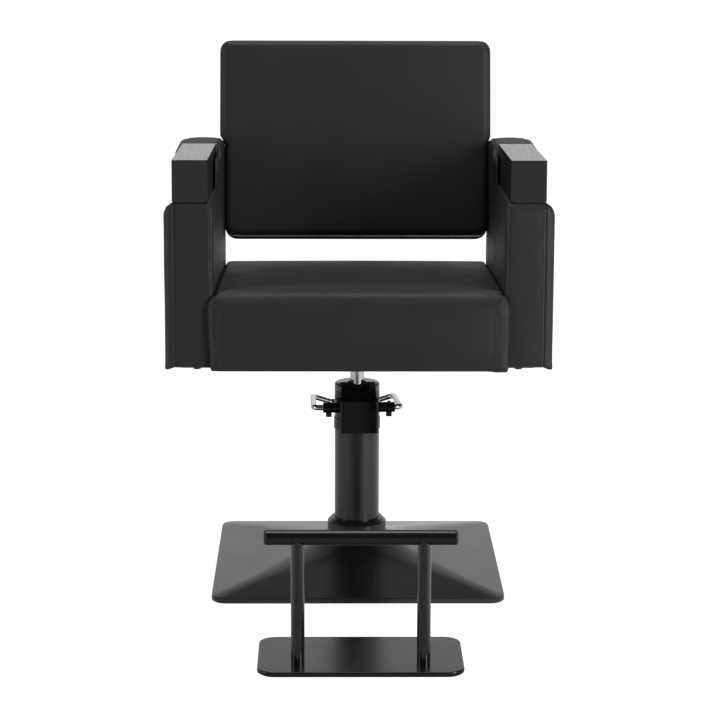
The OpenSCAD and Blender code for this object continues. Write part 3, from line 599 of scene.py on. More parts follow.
def make_materials():
    for make in (leatherette, painted_wood, satin_steel, gloss_steel, footrest_steel, post_steel,
                 bare_steel, chrome, bronze, black_rubber, black_plastic, plywood):
        make()


# The CAD nodes that stay as they are. The rest are replaced by the pieces below
CAD_FINISH = {
    "satin_black_steel": ("base_collar", "column_tube", "front_rail", "rear_rail", "arm_bolts",
                          "seat_bolts"),
    "gloss_black_steel": ("pump_head", "pump_cover", "cross_shaft", "pedal_bolts"),
    "footrest_black_steel": ("footrest_bar",),
    "post_black_steel": ("footrest_posts",),
    "chrome": ("piston_rod",),
    "bare_steel": ("foot_bolts", "pump_cylinder", "plunger_spring", "pump_plunger", "piston",
                   "seat_hub", "rod_screw", "armrest_studs", "back_bolts", "pump_foot"),
    "bronze": ("rod_bush",),
    "black_rubber": ("base_mat", "piston_seal", "pedal_grip", "footrest_mat"),
    "plywood": ("seat_board", "arm_frame_left", "arm_frame_right", "back_board"),
}


def paint_cad():
    for finish, names in CAD_FINISH.items():
        for name in names:
            for slot in NODES[name].material_slots:
                slot.material = MATERIALS[finish]


# Seat

SEAT_LOW = 0.4072
SEAT_FRONT_H = 0.1350
SEAT_REAR_H = 0.1040
SEAT_FACE = -0.270
SEAT_BACK = 0.240
SEAT_HALF = 0.2404
LIP_HALF = 0.2500
LIP_REAR = -0.2564        # the lip starts this far forward, clear of the arms
LIP_FULL = -0.2595
LIP_LINES = (LIP_FULL, LIP_FULL + 0.0009, LIP_FULL + 0.0018, LIP_REAR, LIP_REAR + 0.0012)
SEAT_TOP_ROLL = 0.030
SEAT_SIDE_ROLL = 0.0120
SEAT_LOW_ROLL = 0.004
SEAT_REAR_ROLL = 0.012
SEAT_REAR_STEPS = 6
SEAT_TOP_CORNER = 0.010
LIP_TOP_CORNER = 0.024    # the same corner in front of the arms
LIP_NARROW_SHARE = 0.42   # how much narrower than high it is there
LIP_EASE = 0.007
LIP_STEP = 0.004
SEAT_LOW_CORNER = 0.005
SEAT_CROWN = 0.0055
SEAT_FACE_CROWN = 0.0030
SEAT_FACE_REACH = 0.06    # how far from the edge the face is full
SEAT_REAR_CROWN = 0.003
SEAT_REAR_REACH = 0.05
SEAT_STEP = 0.008
CLOTH_STEP = 0.011
CLOTH_CAP = 0.0065
HELD_LOW = 0.012          # how near to its base, rear and seams the cloth is held
HELD_REAR = 0.02
HELD_SIDE = 0.003

# The seam round the seat's face and its grid lines
SEAT_SEAM = 0.2392
SEAM_DEPTH = 0.0007
SEAM_WIDTH = 0.0012
SEAM_HIGH = 0.03          # behind the lip it shows from this high up
SEAM_NEAR = (-0.0060, -0.0045, -0.0034, -0.0022, -0.0011, 0.0, 0.0011, 0.0022, 0.0034)
SEAT_SIDE_LINES = [0.228, 0.222, 0.215]
SEAT_NEAR_FACE = (0.0, 0.0004, 0.0012, 0.0025, 0.0042, 0.0062, 0.0085)
SEAT_NEAR_SIDE = (0.0, 0.002, 0.004)
SEAT_NEAR_LOW = (0.0, 0.002, 0.005, 0.009)
SEAT_NEAR_TOP = (0.0, 0.003, 0.007, 0.012)

# How the lip's ends lean from bottom to top, on the chair's own left and right
LEAN_LEFT = 0.0009
LEAN_RIGHT = 0.0022
LEAN_RIGHT_IN = 0.0006
LEAN_START = 0.21
LEAN_RUN = 0.03
LEAN_TURN = 3.6           # radians from bottom to top
LEAN_MIDDLE_SHARE = 0.30

# How the lip's left lower corner droops
DROOP = 0.0016
DROOP_START = 0.212
DROOP_RUN = 0.02
DROOP_HIGH = 0.030


def seat_height(y):
    return SEAT_REAR_H + (SEAT_FRONT_H - SEAT_REAR_H) * (SEAT_BACK - y) / (SEAT_BACK - SEAT_FACE)


def seat_half(y):
    """Half width: full in front of the arms, drawn in between them."""
    free = smooth((LIP_REAR - y) / (LIP_REAR - LIP_FULL))
    return SEAT_HALF + (LIP_HALF - SEAT_HALF) * free


def seat_levels(step):
    """Places along Y of the sections of the seat, from the face to the rear."""
    ys = [SEAT_FACE + d for d in SEAT_NEAR_FACE]
    ys += LIP_LINES
    ys += spread(ys[-1], SEAT_FACE + SEAT_TOP_ROLL, LIP_STEP) + [SEAT_FACE + SEAT_TOP_ROLL]
    rear = SEAT_BACK - SEAT_REAR_ROLL
    ys += spread(ys[-1], rear, step) + [rear]
    return ys + roll_up_to(SEAT_BACK, SEAT_REAR_ROLL, SEAT_REAR_STEPS)


def lip_lean(x, share):
    """The lip's ends swing out and in a little from bottom to top."""
    lean = np.where(x > 0, LEAN_LEFT, LEAN_RIGHT) * np.sin((share - LEAN_MIDDLE_SHARE) * LEAN_TURN)
    lean = lean - np.where(x > 0, 0, LEAN_RIGHT_IN)
    return np.sign(x) * lean * smooth((np.abs(x) - LEAN_START) / LEAN_RUN)


def seat_section(u, v, y):
    """Where a point of the widest section lies in the section at y."""
    ahead, behind = y - SEAT_FACE, SEAT_BACK - y
    rear = quarter(behind, SEAT_REAR_ROLL)
    half = seat_half(y) - quarter(ahead, SEAT_SIDE_ROLL) - rear
    high = seat_height(y) - quarter(ahead, SEAT_TOP_ROLL) - rear
    low = quarter(ahead, SEAT_LOW_ROLL) + quarter(behind, SEAT_LOW_ROLL)
    x, z = u * half / LIP_HALF, low + v * (high - low) / SEAT_FRONT_H
    free = smooth((LIP_REAR + LIP_STEP - y) / LIP_EASE)
    corner = SEAT_TOP_CORNER + (LIP_TOP_CORNER - SEAT_TOP_CORNER) * free
    x, z = round_corner(x, z, half, low, high, corner, SEAT_LOW_CORNER, 1 - LIP_NARROW_SHARE * free)
    x = x + lip_lean(x, z / high) * free
    along = np.clip(behind / (SEAT_BACK - SEAT_FACE), 0, 1)
    z = z + SEAT_CROWN * np.sin(math.pi * along) * smooth(z / high) * (1 - (x / half) ** 2)
    return x, z


def seat_shape(step, fine):
    """Points of the seat cushion, its faces, the grid's line numbers and its lines across."""
    seam = [SEAT_SEAM + d for d in SEAM_NEAR] if fine else [SEAT_SEAM]
    us = lines(LIP_HALF, SEAT_NEAR_SIDE, step, seam + SEAT_SIDE_LINES)
    vs = lines_between(0.0, SEAT_FRONT_H, SEAT_NEAR_LOW, SEAT_NEAR_TOP, step)
    ys = seat_levels(step)
    keys, faces = box_shell(us, vs, ys)
    u, v, y = np.array(us)[keys[:, 0]], np.array(vs)[keys[:, 1]], np.array(ys)[keys[:, 2]]
    x, z = seat_section(u, v, y)
    border = border_of(u, v, LIP_HALF, 0.0, SEAT_FRONT_H)
    y = np.where(keys[:, 2] == 0, y - SEAT_FACE_CROWN * smooth(border / SEAT_FACE_REACH), y)
    inward = SEAT_REAR_CROWN * (1 - smooth(border / SEAT_REAR_REACH))
    y = np.where(keys[:, 2] == len(ys) - 1, y - inward, y)
    droop = DROOP * smooth((x - DROOP_START) / DROOP_RUN) * smooth((LIP_FULL - y) / LIP_STEP)
    z = z - droop * smooth((DROOP_HIGH - z) / DROOP_HIGH)
    return np.column_stack([x, y, z + SEAT_LOW]), faces, keys, us


def seat_swell(points):
    """The cloth's movement of the seat. It is held underneath, behind and at its sides."""
    coarse, faces, _, _ = seat_shape(CLOTH_STEP, False)
    held = (coarse[:, 2] < SEAT_LOW + HELD_LOW) | (coarse[:, 1] > SEAT_BACK - HELD_REAR)
    held |= (np.abs(coarse[:, 0]) > SEAT_SEAM - HELD_SIDE)
    return swollen(coarse, faces, held, points, CLOTH_CAP)


def seat_stitches(points, normals, keys, us):
    """A row beside each seam, up the face and back over the top to the arms."""
    for side, word in ((1, "left"), (-1, "right")):
        column = min(range(len(us)), key=lambda i: abs(us[i] - side * (SEAT_SEAM - STITCH_OFF)))
        own = [n for n in range(len(keys)) if keys[n][0] == column]
        face = [n for n in own if keys[n][2] == 0]
        top = [n for n in own if keys[n][1] == keys[:, 1].max()
               and 0 < keys[n][2] and points[n][1] < ARM_FRONT - SEAT_STITCH_END]
        row = sorted(face, key=lambda n: keys[n][1])[1:] + sorted(top, key=lambda n: keys[n][2])
        stitch_row("seat_stitches_" + word, points[row], normals[row])


def seat_cushion():
    points, faces, keys, us = seat_shape(SEAT_STEP, True)
    points = points + seat_swell(points)
    normals = vertex_normals(points, faces)
    shown = (points[:, 1] < LIP_REAR) | (points[:, 2] > SEAT_LOW + SEAM_HIGH)
    dip = groove(np.abs(points[:, 0]) - SEAT_SEAM, SEAM_DEPTH, SEAM_WIDTH)
    points = points - normals * np.where(shown, dip, 0.0)[:, None]
    points = points + normals * puckers(points, np.abs(np.abs(points[:, 0]) - SEAT_SEAM))[:, None]
    leather("seat_cover", points, faces, ("seat_cushion",))
    seat_stitches(points, normals, keys, us)


# Arms

ARM_IN = 0.247            # inner side of an arm's band
ARM_OUT = 0.3076          # outer side of an arm's band
ARM_FRONT = -0.255
ARM_REAR = 0.250
ARM_LOW = 0.410
ARM_TOP_FRONT = 0.687
ARM_TOP_BACK = 0.676
UPRIGHT_TOP = 0.738
UPRIGHT_Y = 0.078
ARM_CORNERS = [(ARM_FRONT, ARM_LOW), (ARM_REAR, ARM_LOW), (ARM_REAR, UPRIGHT_TOP),
               (UPRIGHT_Y, UPRIGHT_TOP), (UPRIGHT_Y, ARM_TOP_BACK), (ARM_FRONT, ARM_TOP_FRONT)]
ARM_RADII = [0.009, 0.012, 0.022, 0.022, 0.010, 0.0125]
ARM_MIDDLE = np.array([0.164, 0.545])
ARM_STEEP = 0.5           # a side faces along an axis when its normal has more than this of it
ARM_STEP = 0.006

# Pads: swell, roll of the edge, how much flatter they are along the ledge, and sag under the band
OUTER_PAD = {"swell": 0.0165, "roll": 0.0118, "flat": 0.62, "sag": 0.0064}
INNER_PAD = {"swell": 0.007, "roll": 0.0105, "flat": 0.8, "sag": 0.0022}
PAD_SKIRT = 0.0003
PAD_ROLL_SHARE = 0.94
PAD_EDGE_SHARE = 0.20     # how far inward the rim's own height is felt
LEDGE_ROLL_SHARE = 0.9    # how much wider the edge rolls along the ledge
LOW_ROLL_SHARE = 0.82     # and how much narrower under the arm
SAG_START = 0.03          # the sag grows from here to the front
SAG_RUN = 0.25
SAG_REAR_SHARE = 0.45
SAG_LIFT_SHARE = 0.38
SAG_LIFT_POWER = 6
PAD_RING_SHARES = (0.97, 0.94, 0.91, 0.88, 0.84, 0.80, 0.74, 0.67, 0.58, 0.48, 0.38, 0.28, 0.18, 0.08)
CROWN_BORDER = 0.012

# The ledge is the flat top of the lower arm, where the armrest block stands
LEDGE_DEPTH = 0.016
LEDGE_CORNER_DEPTH = 0.022
LEDGE_CORNER_SHARE = 0.26
LEDGE_EASE = 0.014
LEDGE_START = 0.001
LEDGE_RUN = 0.016
LEDGE_PAST = 0.008
UPRIGHT_CAP = 0.024
UPRIGHT_EASE = 0.02

# The band between an arm's seams
BAND_NEAR = (0.0, 0.0007, 0.0015, 0.0026, 0.0045, 0.008, 0.013, 0.019, 0.025, 0.0303)
BAND_FULL_FRONT = 0.0014
BAND_FULL = 0.0003
BAND_FULL_HIGH = 0.0028
BAND_HIGH_RUN = 0.03
BAND_TUCK = 0.0004        # how far it is drawn up under the arm
BAND_TUCK_START = -0.12
BAND_TUCK_RUN = 0.1
BAND_POWER = 0.55
SEAM_SUNK = 0.0005
SEAM_SUNK_WIDTH = 0.0011
ARM_WAVE = 0.0007
ARM_WAVE_SCALE = 14.0
ARM_WAVE_APART = 5.0      # how far apart in the noise the two arms are, and so their puckers
ARM_PUCKER_APART = 3.0

# The fold in the inner pad, between places along Y and Z
FOLD_START = (0.030, 0.700)
FOLD_END = (0.092, 0.570)
FOLD_EASE_IN = 0.03
FOLD_EASE_OUT = 0.05
FOLD_AHEAD = 0.02
FOLD_IN = 0.003           # it starts this far inside the seam
FOLD_DEPTH = 0.0034
FOLD_WIDTH = 0.006
FOLD_RIDGE = 0.0024
FOLD_RIDGE_OFF = 0.015
FOLD_RIDGE_WIDTH = 0.010

# The inner pad beside the armrest block
INNER_Y = {1: 0.035, -1: -0.030}  # where it rises, on the left and on the right
NOOK_LOW = 0.590
NOOK_RISE = 0.070
BLOCK_TOP = 0.7575
BLOCK_TOP_Y = -0.25
BLOCK_FALL_SHARE = 0.098
BLOCK_GAP = 0.0050
NOOK_TOP_RISE = 0.030
NOOK_TOP_Y = 0.055
NOOK_TOP_RUN = 0.07


def arc_points(centre, radius, start, end, n):
    return [(centre[0] + radius * math.cos(start + (end - start) * k / n),
             centre[1] + radius * math.sin(start + (end - start) * k / n)) for k in range(n + 1)]


def corner_frame(corners, radii, i):
    """A corner, the ways to its neighbours, and how far from it its arc begins."""
    c = Vector(corners[i])
    a = (Vector(corners[i - 1]) - c).normalized()
    b = (Vector(corners[(i + 1) % len(corners)]) - c).normalized()
    return c, a, b, radii[i] / math.tan(a.angle(b) / 2)


def rounded_outline(corners, radii, step):
    """Closed outline, counter-clockwise, with its corners rounded: points and outward normals."""
    out = []
    for i, r in enumerate(radii):
        c, a, b, reach = corner_frame(corners, radii, i)
        centre = c + (a + b).normalized() * (r / math.sin(a.angle(b) / 2))
        end = c + b * reach
        s, e = c + a * reach - centre, end - centre
        turn = math.atan2(s.x * e.y - s.y * e.x, s.dot(e))
        convex = a.x * b.y - a.y * b.x < 0
        for k in range(ROLL_STEPS + 1):
            t = turn * k / ROLL_STEPS
            d = Vector((s.x * math.cos(t) - s.y * math.sin(t), s.x * math.sin(t) + s.y * math.cos(t)))
            out.append((centre + d, d.normalized() if convex else -d.normalized()))
        following, back, _, reach = corner_frame(corners, radii, (i + 1) % len(corners))
        stop = following + back * reach
        side = Vector((-back.y, back.x))
        m = max(2, round((stop - end).length / step))
        out += [(end.lerp(stop, k / m), side) for k in range(1, m)]
    return np.array([p[:] for p, _ in out]), np.array([n[:] for _, n in out])


def ledge_share(outline):
    """How flat a pad lies: nearly flat along the top of the lower arm, a little at its front."""
    y, z = outline[:, 0], outline[:, 1]
    top = ARM_TOP_FRONT + (ARM_TOP_BACK - ARM_TOP_FRONT) * (y - ARM_FRONT) / (UPRIGHT_Y - ARM_FRONT)
    above = smooth((z - top + LEDGE_DEPTH) / LEDGE_EASE)
    behind = smooth((y - ARM_FRONT - LEDGE_START) / LEDGE_RUN)
    corner = LEDGE_CORNER_SHARE * smooth((z - top + LEDGE_CORNER_DEPTH) / LEDGE_EASE)
    ahead = smooth((UPRIGHT_Y + LEDGE_PAST - y) / LEDGE_EASE)
    below = smooth((UPRIGHT_TOP - UPRIGHT_CAP - z) / UPRIGHT_EASE)
    return np.maximum(above * behind, corner) * ahead * below


def crown(p):
    """Fullness of a pad: most in its middle, none along its edge, without ridges."""
    y = (p[:, 0] - (ARM_FRONT + ARM_REAR) / 2) / ((ARM_REAR - ARM_FRONT) / 2 - CROWN_BORDER)
    z = (p[:, 1] - (ARM_LOW + ARM_TOP_BACK) / 2) / ((ARM_TOP_BACK - ARM_LOW) / 2 - CROWN_BORDER)
    return np.clip(1 - y ** 2, 0, 1) * np.clip(1 - z ** 2, 0, 1)


def pad_rings(outline, normals, seam_x, outward, swell, roll, flat, sag):
    """Rings from the seam to the middle of a pad: a rolled edge and then a gentle crown."""
    rings = []
    share = ledge_share(outline)
    full = swell * (1 - flat * share)
    low = np.clip(-normals[:, 1], 0, 1)
    front = SAG_REAR_SHARE + (1 - SAG_REAR_SHARE) * smooth((SAG_START - outline[:, 0]) / SAG_RUN)
    inset = roll * (1 + LEDGE_ROLL_SHARE * share) * (1 - LOW_ROLL_SHARE * low)
    for k in range(ROLL_STEPS + 1):
        a = math.pi / 2 * k / ROLL_STEPS
        p = outline - normals * (inset * (1 - math.cos(a)))[:, None]
        hang = sag * low * front * math.sin(a) * (1 - SAG_LIFT_SHARE * math.sin(a) ** SAG_LIFT_POWER)
        p = np.column_stack([p[:, 0], p[:, 1] - hang])
        x = PAD_SKIRT + (full - PAD_SKIRT) * PAD_ROLL_SHARE * math.sin(a)
        rings.append((p, seam_x + outward * x))
    rim = rings[-1][0]
    rim_x = PAD_SKIRT + (full - PAD_SKIRT) * PAD_ROLL_SHARE
    level = PAD_SKIRT + (swell - PAD_SKIRT) * PAD_ROLL_SHARE
    for s in PAD_RING_SHARES:
        p = ARM_MIDDLE + s * (rim - ARM_MIDDLE)
        edge = 1 - smooth((1 - s) / PAD_EDGE_SHARE)
        x = level + (rim_x - level) * edge + (swell - level) * crown(p)
        rings.append((p, seam_x + outward * x))
    return rings, [seam_x + outward * swell, *ARM_MIDDLE]


def arm_band_rings(outline, normals):
    """Rings across the band between the two seams, sunk at the seams and slightly full between."""
    width = ARM_OUT - ARM_IN
    full = np.where(np.abs(normals[:, 0]) > ARM_STEEP, BAND_FULL_FRONT, BAND_FULL)
    high = smooth((outline[:, 1] - UPRIGHT_TOP + BAND_HIGH_RUN) / BAND_HIGH_RUN)
    under = smooth((BAND_TUCK_START - outline[:, 0]) / BAND_TUCK_RUN)
    full = full + BAND_FULL_HIGH * high * np.clip(normals[:, 1], 0, 1)
    full = full - BAND_TUCK * under * np.clip(-normals[:, 1], 0, 1)
    places = list(BAND_NEAR) + [width - d for d in reversed(BAND_NEAR[:-1])]
    made = []
    for d in places:
        sunk = groove(min(d, width - d), SEAM_SUNK, SEAM_SUNK_WIDTH)
        out = full * math.sin(math.pi * d / width) ** BAND_POWER - sunk
        made.append((outline + normals * out[:, None], np.full(len(outline), ARM_OUT - d)))
    return made


def inner_fold(points):
    """The leather of the inner pad is drawn slantwise from the nook towards the backrest."""
    along = Vector(FOLD_END) - Vector(FOLD_START)
    reach = along.length
    along.normalize()
    dy, dz = points[:, 1] - FOLD_START[0], points[:, 2] - FOLD_START[1]
    run = dy * along.x + dz * along.y
    off = dy * along.y - dz * along.x
    length = smooth((run + FOLD_AHEAD) / FOLD_EASE_IN) * smooth((reach - run) / FOLD_EASE_OUT)
    ridge = groove(off - FOLD_RIDGE_OFF, FOLD_RIDGE, FOLD_RIDGE_WIDTH)
    return (ridge - groove(off, FOLD_DEPTH, FOLD_WIDTH)) * length


def beside_block(p, side):
    """The inner pad reaches forward beside the armrest block and stays under the block's top."""
    y, z = p[:, 0], p[:, 1]
    knee = INNER_Y[side]
    ahead = ARM_FRONT + (y - ARM_FRONT) * (knee - ARM_FRONT) / (UPRIGHT_Y - ARM_FRONT)
    behind = ARM_REAR - (ARM_REAR - y) * (ARM_REAR - knee) / (ARM_REAR - UPRIGHT_Y)
    share = smooth((z - NOOK_LOW) / NOOK_RISE)
    moved = y + (np.where(y < UPRIGHT_Y, ahead, behind) - y) * share
    block_top = BLOCK_TOP - BLOCK_FALL_SHARE * (moved - BLOCK_TOP_Y)
    ceiling = block_top - BLOCK_GAP + NOOK_TOP_RISE * smooth((moved - NOOK_TOP_Y) / NOOK_TOP_RUN)
    return np.column_stack([moved, np.minimum(z, ceiling)])


def arm_shape(outline, normals, side):
    """Points and faces of an arm's cover: outer pad, band and inner pad in one skin."""
    outer, outer_centre = pad_rings(outline, normals, ARM_OUT, 1, **OUTER_PAD)
    inner, inner_centre = pad_rings(outline, normals, ARM_IN, -1, **INNER_PAD)
    inner = inner[:1] + [(beside_block(p, side), x) for p, x in inner]
    rings = list(reversed(outer)) + arm_band_rings(outline, normals) + inner
    points = np.concatenate([np.column_stack([x, p]) for p, x in rings])
    end = len(points)
    points = np.concatenate([points, np.array([outer_centre, inner_centre])])
    faces = loft_faces(len(rings), len(outline), end, end + 1)
    points[:, 0] -= np.where(points[:, 0] < ARM_IN - FOLD_IN, inner_fold(points), 0.0)
    seam = np.minimum(np.abs(points[:, 0] - ARM_OUT), np.abs(points[:, 0] - ARM_IN))
    shape = vertex_normals(points, faces)
    points = points + shape * puckers(points + side * ARM_PUCKER_APART, seam)[:, None]
    wave = ARM_WAVE * undulation(points + side * ARM_WAVE_APART, ARM_WAVE_SCALE, shift=1.0)
    points = points + shape * wave[:, None]
    points[:, 0] *= side
    return points, faces


def arm_stitches(points, outline, normals, side, word):
    """A row inside either seam, except under the arm."""
    count = len(outline)
    across = np.column_stack([np.zeros(count), normals])
    shown = (normals[:, 1] > -ARM_STEEP) & (outline[:, 1] > ARM_LOW + ARM_STITCH_LOW)
    start = int(np.argmax(~shown))
    order = [i % count for i in range(start, start + count) if shown[i % count]]
    for seam_name, x in (("outer", ARM_OUT - ARM_STITCH_OFF), ("inner", ARM_IN + ARM_STITCH_OFF)):
        near = nearest(points, np.column_stack([np.full(count, side * x), outline]))
        stitch_row("arm_stitches_" + seam_name + "_" + word, near[order], across[order])


def arm_cover(side, word):
    outline, normals = rounded_outline(ARM_CORNERS, ARM_RADII, ARM_STEP)
    points, faces = arm_shape(outline, normals, side)
    replaced = ("arm_band_" + word, "outer_pad_" + word, "inner_pad_" + word)
    leather("arm_cover_" + word, points, faces, replaced)
    arm_stitches(points, outline, normals, side, word)


# Backrest

BACK_HALF = 0.2468
BACK_PINCH = 0.2403
BACK_ORIGIN = Vector((0.0, 0.165, 0.567))
BACK_TILT = math.radians(13)
BACK_H = 0.3598
BACK_LIFT = 0.0032        # how far the front cushion's lower edge stands above the rear panel's
BACK_FRONT_T = 0.050
BACK_ALL_T = 0.075
BACK_SWELL = 0.004
BACK_STEP = 0.009
BACK_WALL_STEP = 0.006
BACK_WALL_RUN = 0.02
BACK_TAIL_STEPS = 4
BACK_FRONT_EDGE = {"corner": 0.020, "roll": 0.014, "tail": 0.006}
BACK_REAR_EDGE = {"corner": 0.022, "roll": 0.010, "tail": 0.004}
PINCH_LOW = 0.729         # the backrest is free of the arms from here up
PINCH_HIGH = 0.746
BACK_SHIFT = -0.0020      # the free part stands a little to one side, as in the photo


def in_back(points):
    """From the backrest's own frame (x, depth, height) to the chair's frame."""
    turn = np.array(Matrix.Rotation(-BACK_TILT, 3, "X"))
    return points @ turn.T + np.array(BACK_ORIGIN)


def back_width(x, depth, z):
    """Draws the backrest in where the arms hold it."""
    high = BACK_ORIGIN.z + z * math.cos(BACK_TILT) - depth * math.sin(BACK_TILT)
    free = smooth((high - PINCH_LOW) / (PINCH_HIGH - PINCH_LOW))
    return x * (BACK_PINCH + free * (BACK_HALF - BACK_PINCH)) / BACK_HALF + BACK_SHIFT * free


def back_dome(u, v, low, roll):
    """How far the face falls away from its middle."""
    middle, half = (low + BACK_H) / 2, (BACK_H - low) / 2 - roll
    dome = np.clip(1 - (u / (BACK_HALF - roll)) ** 2, 0, 1) * np.clip(1 - ((v - middle) / half) ** 2, 0, 1)
    return BACK_SWELL * (1 - dome)


def back_slab(name, low, face, flat, replaced, corner, roll, tail):
    """A padded slab of the backrest: its crowned face at one depth, its flat side at the other."""
    near = roll_steps(roll)
    us = lines(BACK_HALF, near, BACK_STEP)
    vs = lines_between(low, BACK_H, near, near, BACK_STEP)
    thick = abs(flat - face)
    levels = [roll] + spread(roll, thick - tail, BACK_WALL_STEP) + [thick - tail]
    levels += roll_up_to(thick, tail, BACK_TAIL_STEPS)
    keys, faces = box_shell(us, vs, levels)
    u, v = np.array(us)[keys[:, 0]], np.array(vs)[keys[:, 1]]
    level = np.array(levels)[keys[:, 2]]
    front, rear = keys[:, 2] == 0, keys[:, 2] == len(levels) - 1
    x, z = round_corner(u, v, BACK_HALF, low, BACK_H, corner, corner)
    border = border_of(u, v, BACK_HALF, low, BACK_H)
    depth = np.where(rear, level, level + BACK_SWELL * (1 - smooth((level - roll) / BACK_WALL_RUN)))
    depth = np.where(front, quarter(border, roll) + back_dome(u, v, low, roll), depth)
    tuck = np.where(front, 0.0, quarter(thick - level, tail))
    middle, half = (low + BACK_H) / 2, (BACK_H - low) / 2
    x = x * (1 - tuck / BACK_HALF)
    z = middle + (z - middle) * (1 - tuck / half)
    depth = face + depth * (1 if flat > face else -1)
    local = np.column_stack([back_width(x, depth, z), depth, z])
    leather(name, in_back(local), faces, replaced)


def backrest():
    front, rear = ("back_cushion",), ("back_panel",)
    back_slab("back_front_cover", BACK_LIFT, 0.0, BACK_FRONT_T, front, **BACK_FRONT_EDGE)
    back_slab("back_rear_cover", 0.0, BACK_ALL_T, BACK_FRONT_T, rear, **BACK_REAR_EDGE)


# Rigid pieces with finer edges than the CAD gives them

SAME_PLACE = 0.00001
FLAT_TURN = math.radians(0.5)
SHARP_TURN = math.radians(35)
WOOD_EDGE = 0.0011
PLATE_EDGE = 0.0022
PLUG_EDGE = 0.0030


def area_normals(data):
    """Normals of the points, in which large faces count most, so that flats look flat."""
    out = np.zeros((len(data.vertices), 3))
    for face in data.polygons:
        for k in face.vertices:
            out[k] += np.array(face.normal) * face.area
    return out / np.maximum(np.linalg.norm(out, axis=1), 1e-12)[:, None]


def refined(node, width, segments, slot, body, finish=None):
    """A copy of a CAD node with its edges rounded over; it stands for that node."""
    edit = bmesh.new()
    edit.from_mesh(NODES[node].data)
    bmesh.ops.remove_doubles(edit, verts=edit.verts, dist=SAME_PLACE)
    bmesh.ops.dissolve_limit(edit, angle_limit=FLAT_TURN, verts=edit.verts, edges=edit.edges)
    edges = [e for e in edit.edges if len(e.link_faces) == 2
             and e.calc_face_angle(0) > SHARP_TURN]
    bmesh.ops.bevel(edit, geom=edges, offset=width, segments=segments, profile=0.5,
                    affect="EDGES", clamp_overlap=True)
    bmesh.ops.recalc_face_normals(edit, faces=edit.faces)
    data = bpy.data.meshes.new(node + "_fine")
    edit.to_mesh(data)
    edit.free()
    data.shade_smooth()
    data.normals_split_custom_set_from_vertices(area_normals(data))
    data.materials.append(MATERIALS[finish or slot])
    dress(linked(node + "_fine", data), body, (node,))


# Pump head and pedal

PUMP_YAW = math.radians(3.25)
PUMP_TURN = Matrix.Rotation(PUMP_YAW, 3, "Z")
CAP_R = 0.0400
CAP_LOW = 0.321
CAP_TOP = 0.3335
CAP_BORE = 0.0160
CAP_ROUND = 0.0040
CAP_ROUND_TURN = math.radians(82)
CAP_DOME = 0.0002
CAP_SIDES = 180
SHOULDER_HALF = 0.0305    # the sloping face over the block, as wide as the block
SHOULDER_FOOT = (-0.0571, 0.3093)
SHOULDER_BEND = (-0.0400, 0.3217)
SHOULDER_END = (-0.0050, CAP_TOP + 0.0003)
SHOULDER_T = 0.003
SHOULDER_HEEL = -0.0450
SHOULDER_BORE = 0.0150
SHOULDER_STEPS = 48
SHOULDER_TURN = 20        # degrees
SHOULDER_INSET = 0.0003   # the cap is lowered up to this far from the slope's sides
SHOULDER_SUNK = 0.0006    # and this far under it
WIPER = [(0.0128, CAP_LOW), (0.0149, CAP_LOW), (0.0149, 0.3285), (0.0129, 0.3298)]
PEDAL_R = 0.005
PEDAL_BEND = 0.013
PEDAL_STEPS = 10          # of a bend
PEDAL_CORNERS = [(0.043, -0.0451, 0.297), (0.074, -0.0451, 0.297), (0.0745, 0.112, 0.283),
                 (0.040, 0.128, 0.269), (-0.040, 0.128, 0.269), (-0.0725, 0.112, 0.283),
                 (-0.0795, -0.0451, 0.297), (-0.043, -0.0451, 0.297)]


def slope_z(y):
    """Height of the head's front slope."""
    line = (SHOULDER_FOOT, SHOULDER_BEND, SHOULDER_END)
    return float(np.interp(y, [p[0] for p in line], [p[1] for p in line]))


def shoulder():
    """The head's dark front slope, which runs up through the cap to the rod."""
    points = []
    for k in range(SHOULDER_STEPS + 1):
        x = SHOULDER_HALF * (2 * k / SHOULDER_STEPS - 1)
        rear = min(-math.sqrt(max(SHOULDER_BORE ** 2 - x * x, 0.0)), SHOULDER_END[0])
        top = slope_z(rear)
        shape = [SHOULDER_FOOT, SHOULDER_BEND, (rear, top), (rear, top - SHOULDER_T),
                 (SHOULDER_BEND[0], SHOULDER_BEND[1] - SHOULDER_T), (SHOULDER_HEEL, SHOULDER_FOOT[1])]
        points += [PUMP_TURN @ Vector((x, y, z)) for y, z in shape]
    faces = rod_faces(SHOULDER_STEPS + 1, len(shape))
    piece = mesh_piece("head_shoulder_fine", points, faces, "gloss_black_steel", "base")
    sharpen(piece, SHOULDER_TURN)


def cut_for_shoulder(piece):
    """The cap is lower than the slope where the slope runs through it."""
    turn = Matrix.Rotation(-PUMP_YAW, 3, "Z")
    for point in piece.data.vertices:
        local = turn @ point.co
        if abs(local.x) < SHOULDER_HALF - SHOULDER_INSET and local.y < SHOULDER_END[0]:
            point.co.z = min(point.co.z, slope_z(local.y) - SHOULDER_SUNK)
    piece.data.update()


def head_cap():
    """A flat cap with a rounded edge and the faintest dome."""
    profile = [(CAP_BORE, CAP_LOW), (CAP_R, CAP_LOW)]
    edge_r, edge_z = CAP_R - CAP_ROUND, CAP_TOP - CAP_DOME - CAP_ROUND
    profile += arc_points((edge_r, edge_z), CAP_ROUND, 0.0, CAP_ROUND_TURN, ROLL_STEPS)
    for k in range(ROLL_STEPS - 1, -1, -1):
        r = CAP_BORE + (edge_r - CAP_BORE) * k / ROLL_STEPS
        profile.append((r, CAP_TOP - CAP_DOME * (r / edge_r) ** 2))
    cap = lathe("head_cap_fine", profile, "gloss_black_steel", "base", ("head_cap",), CAP_SIDES,
                "post_black_steel")
    cut_for_shoulder(cap)


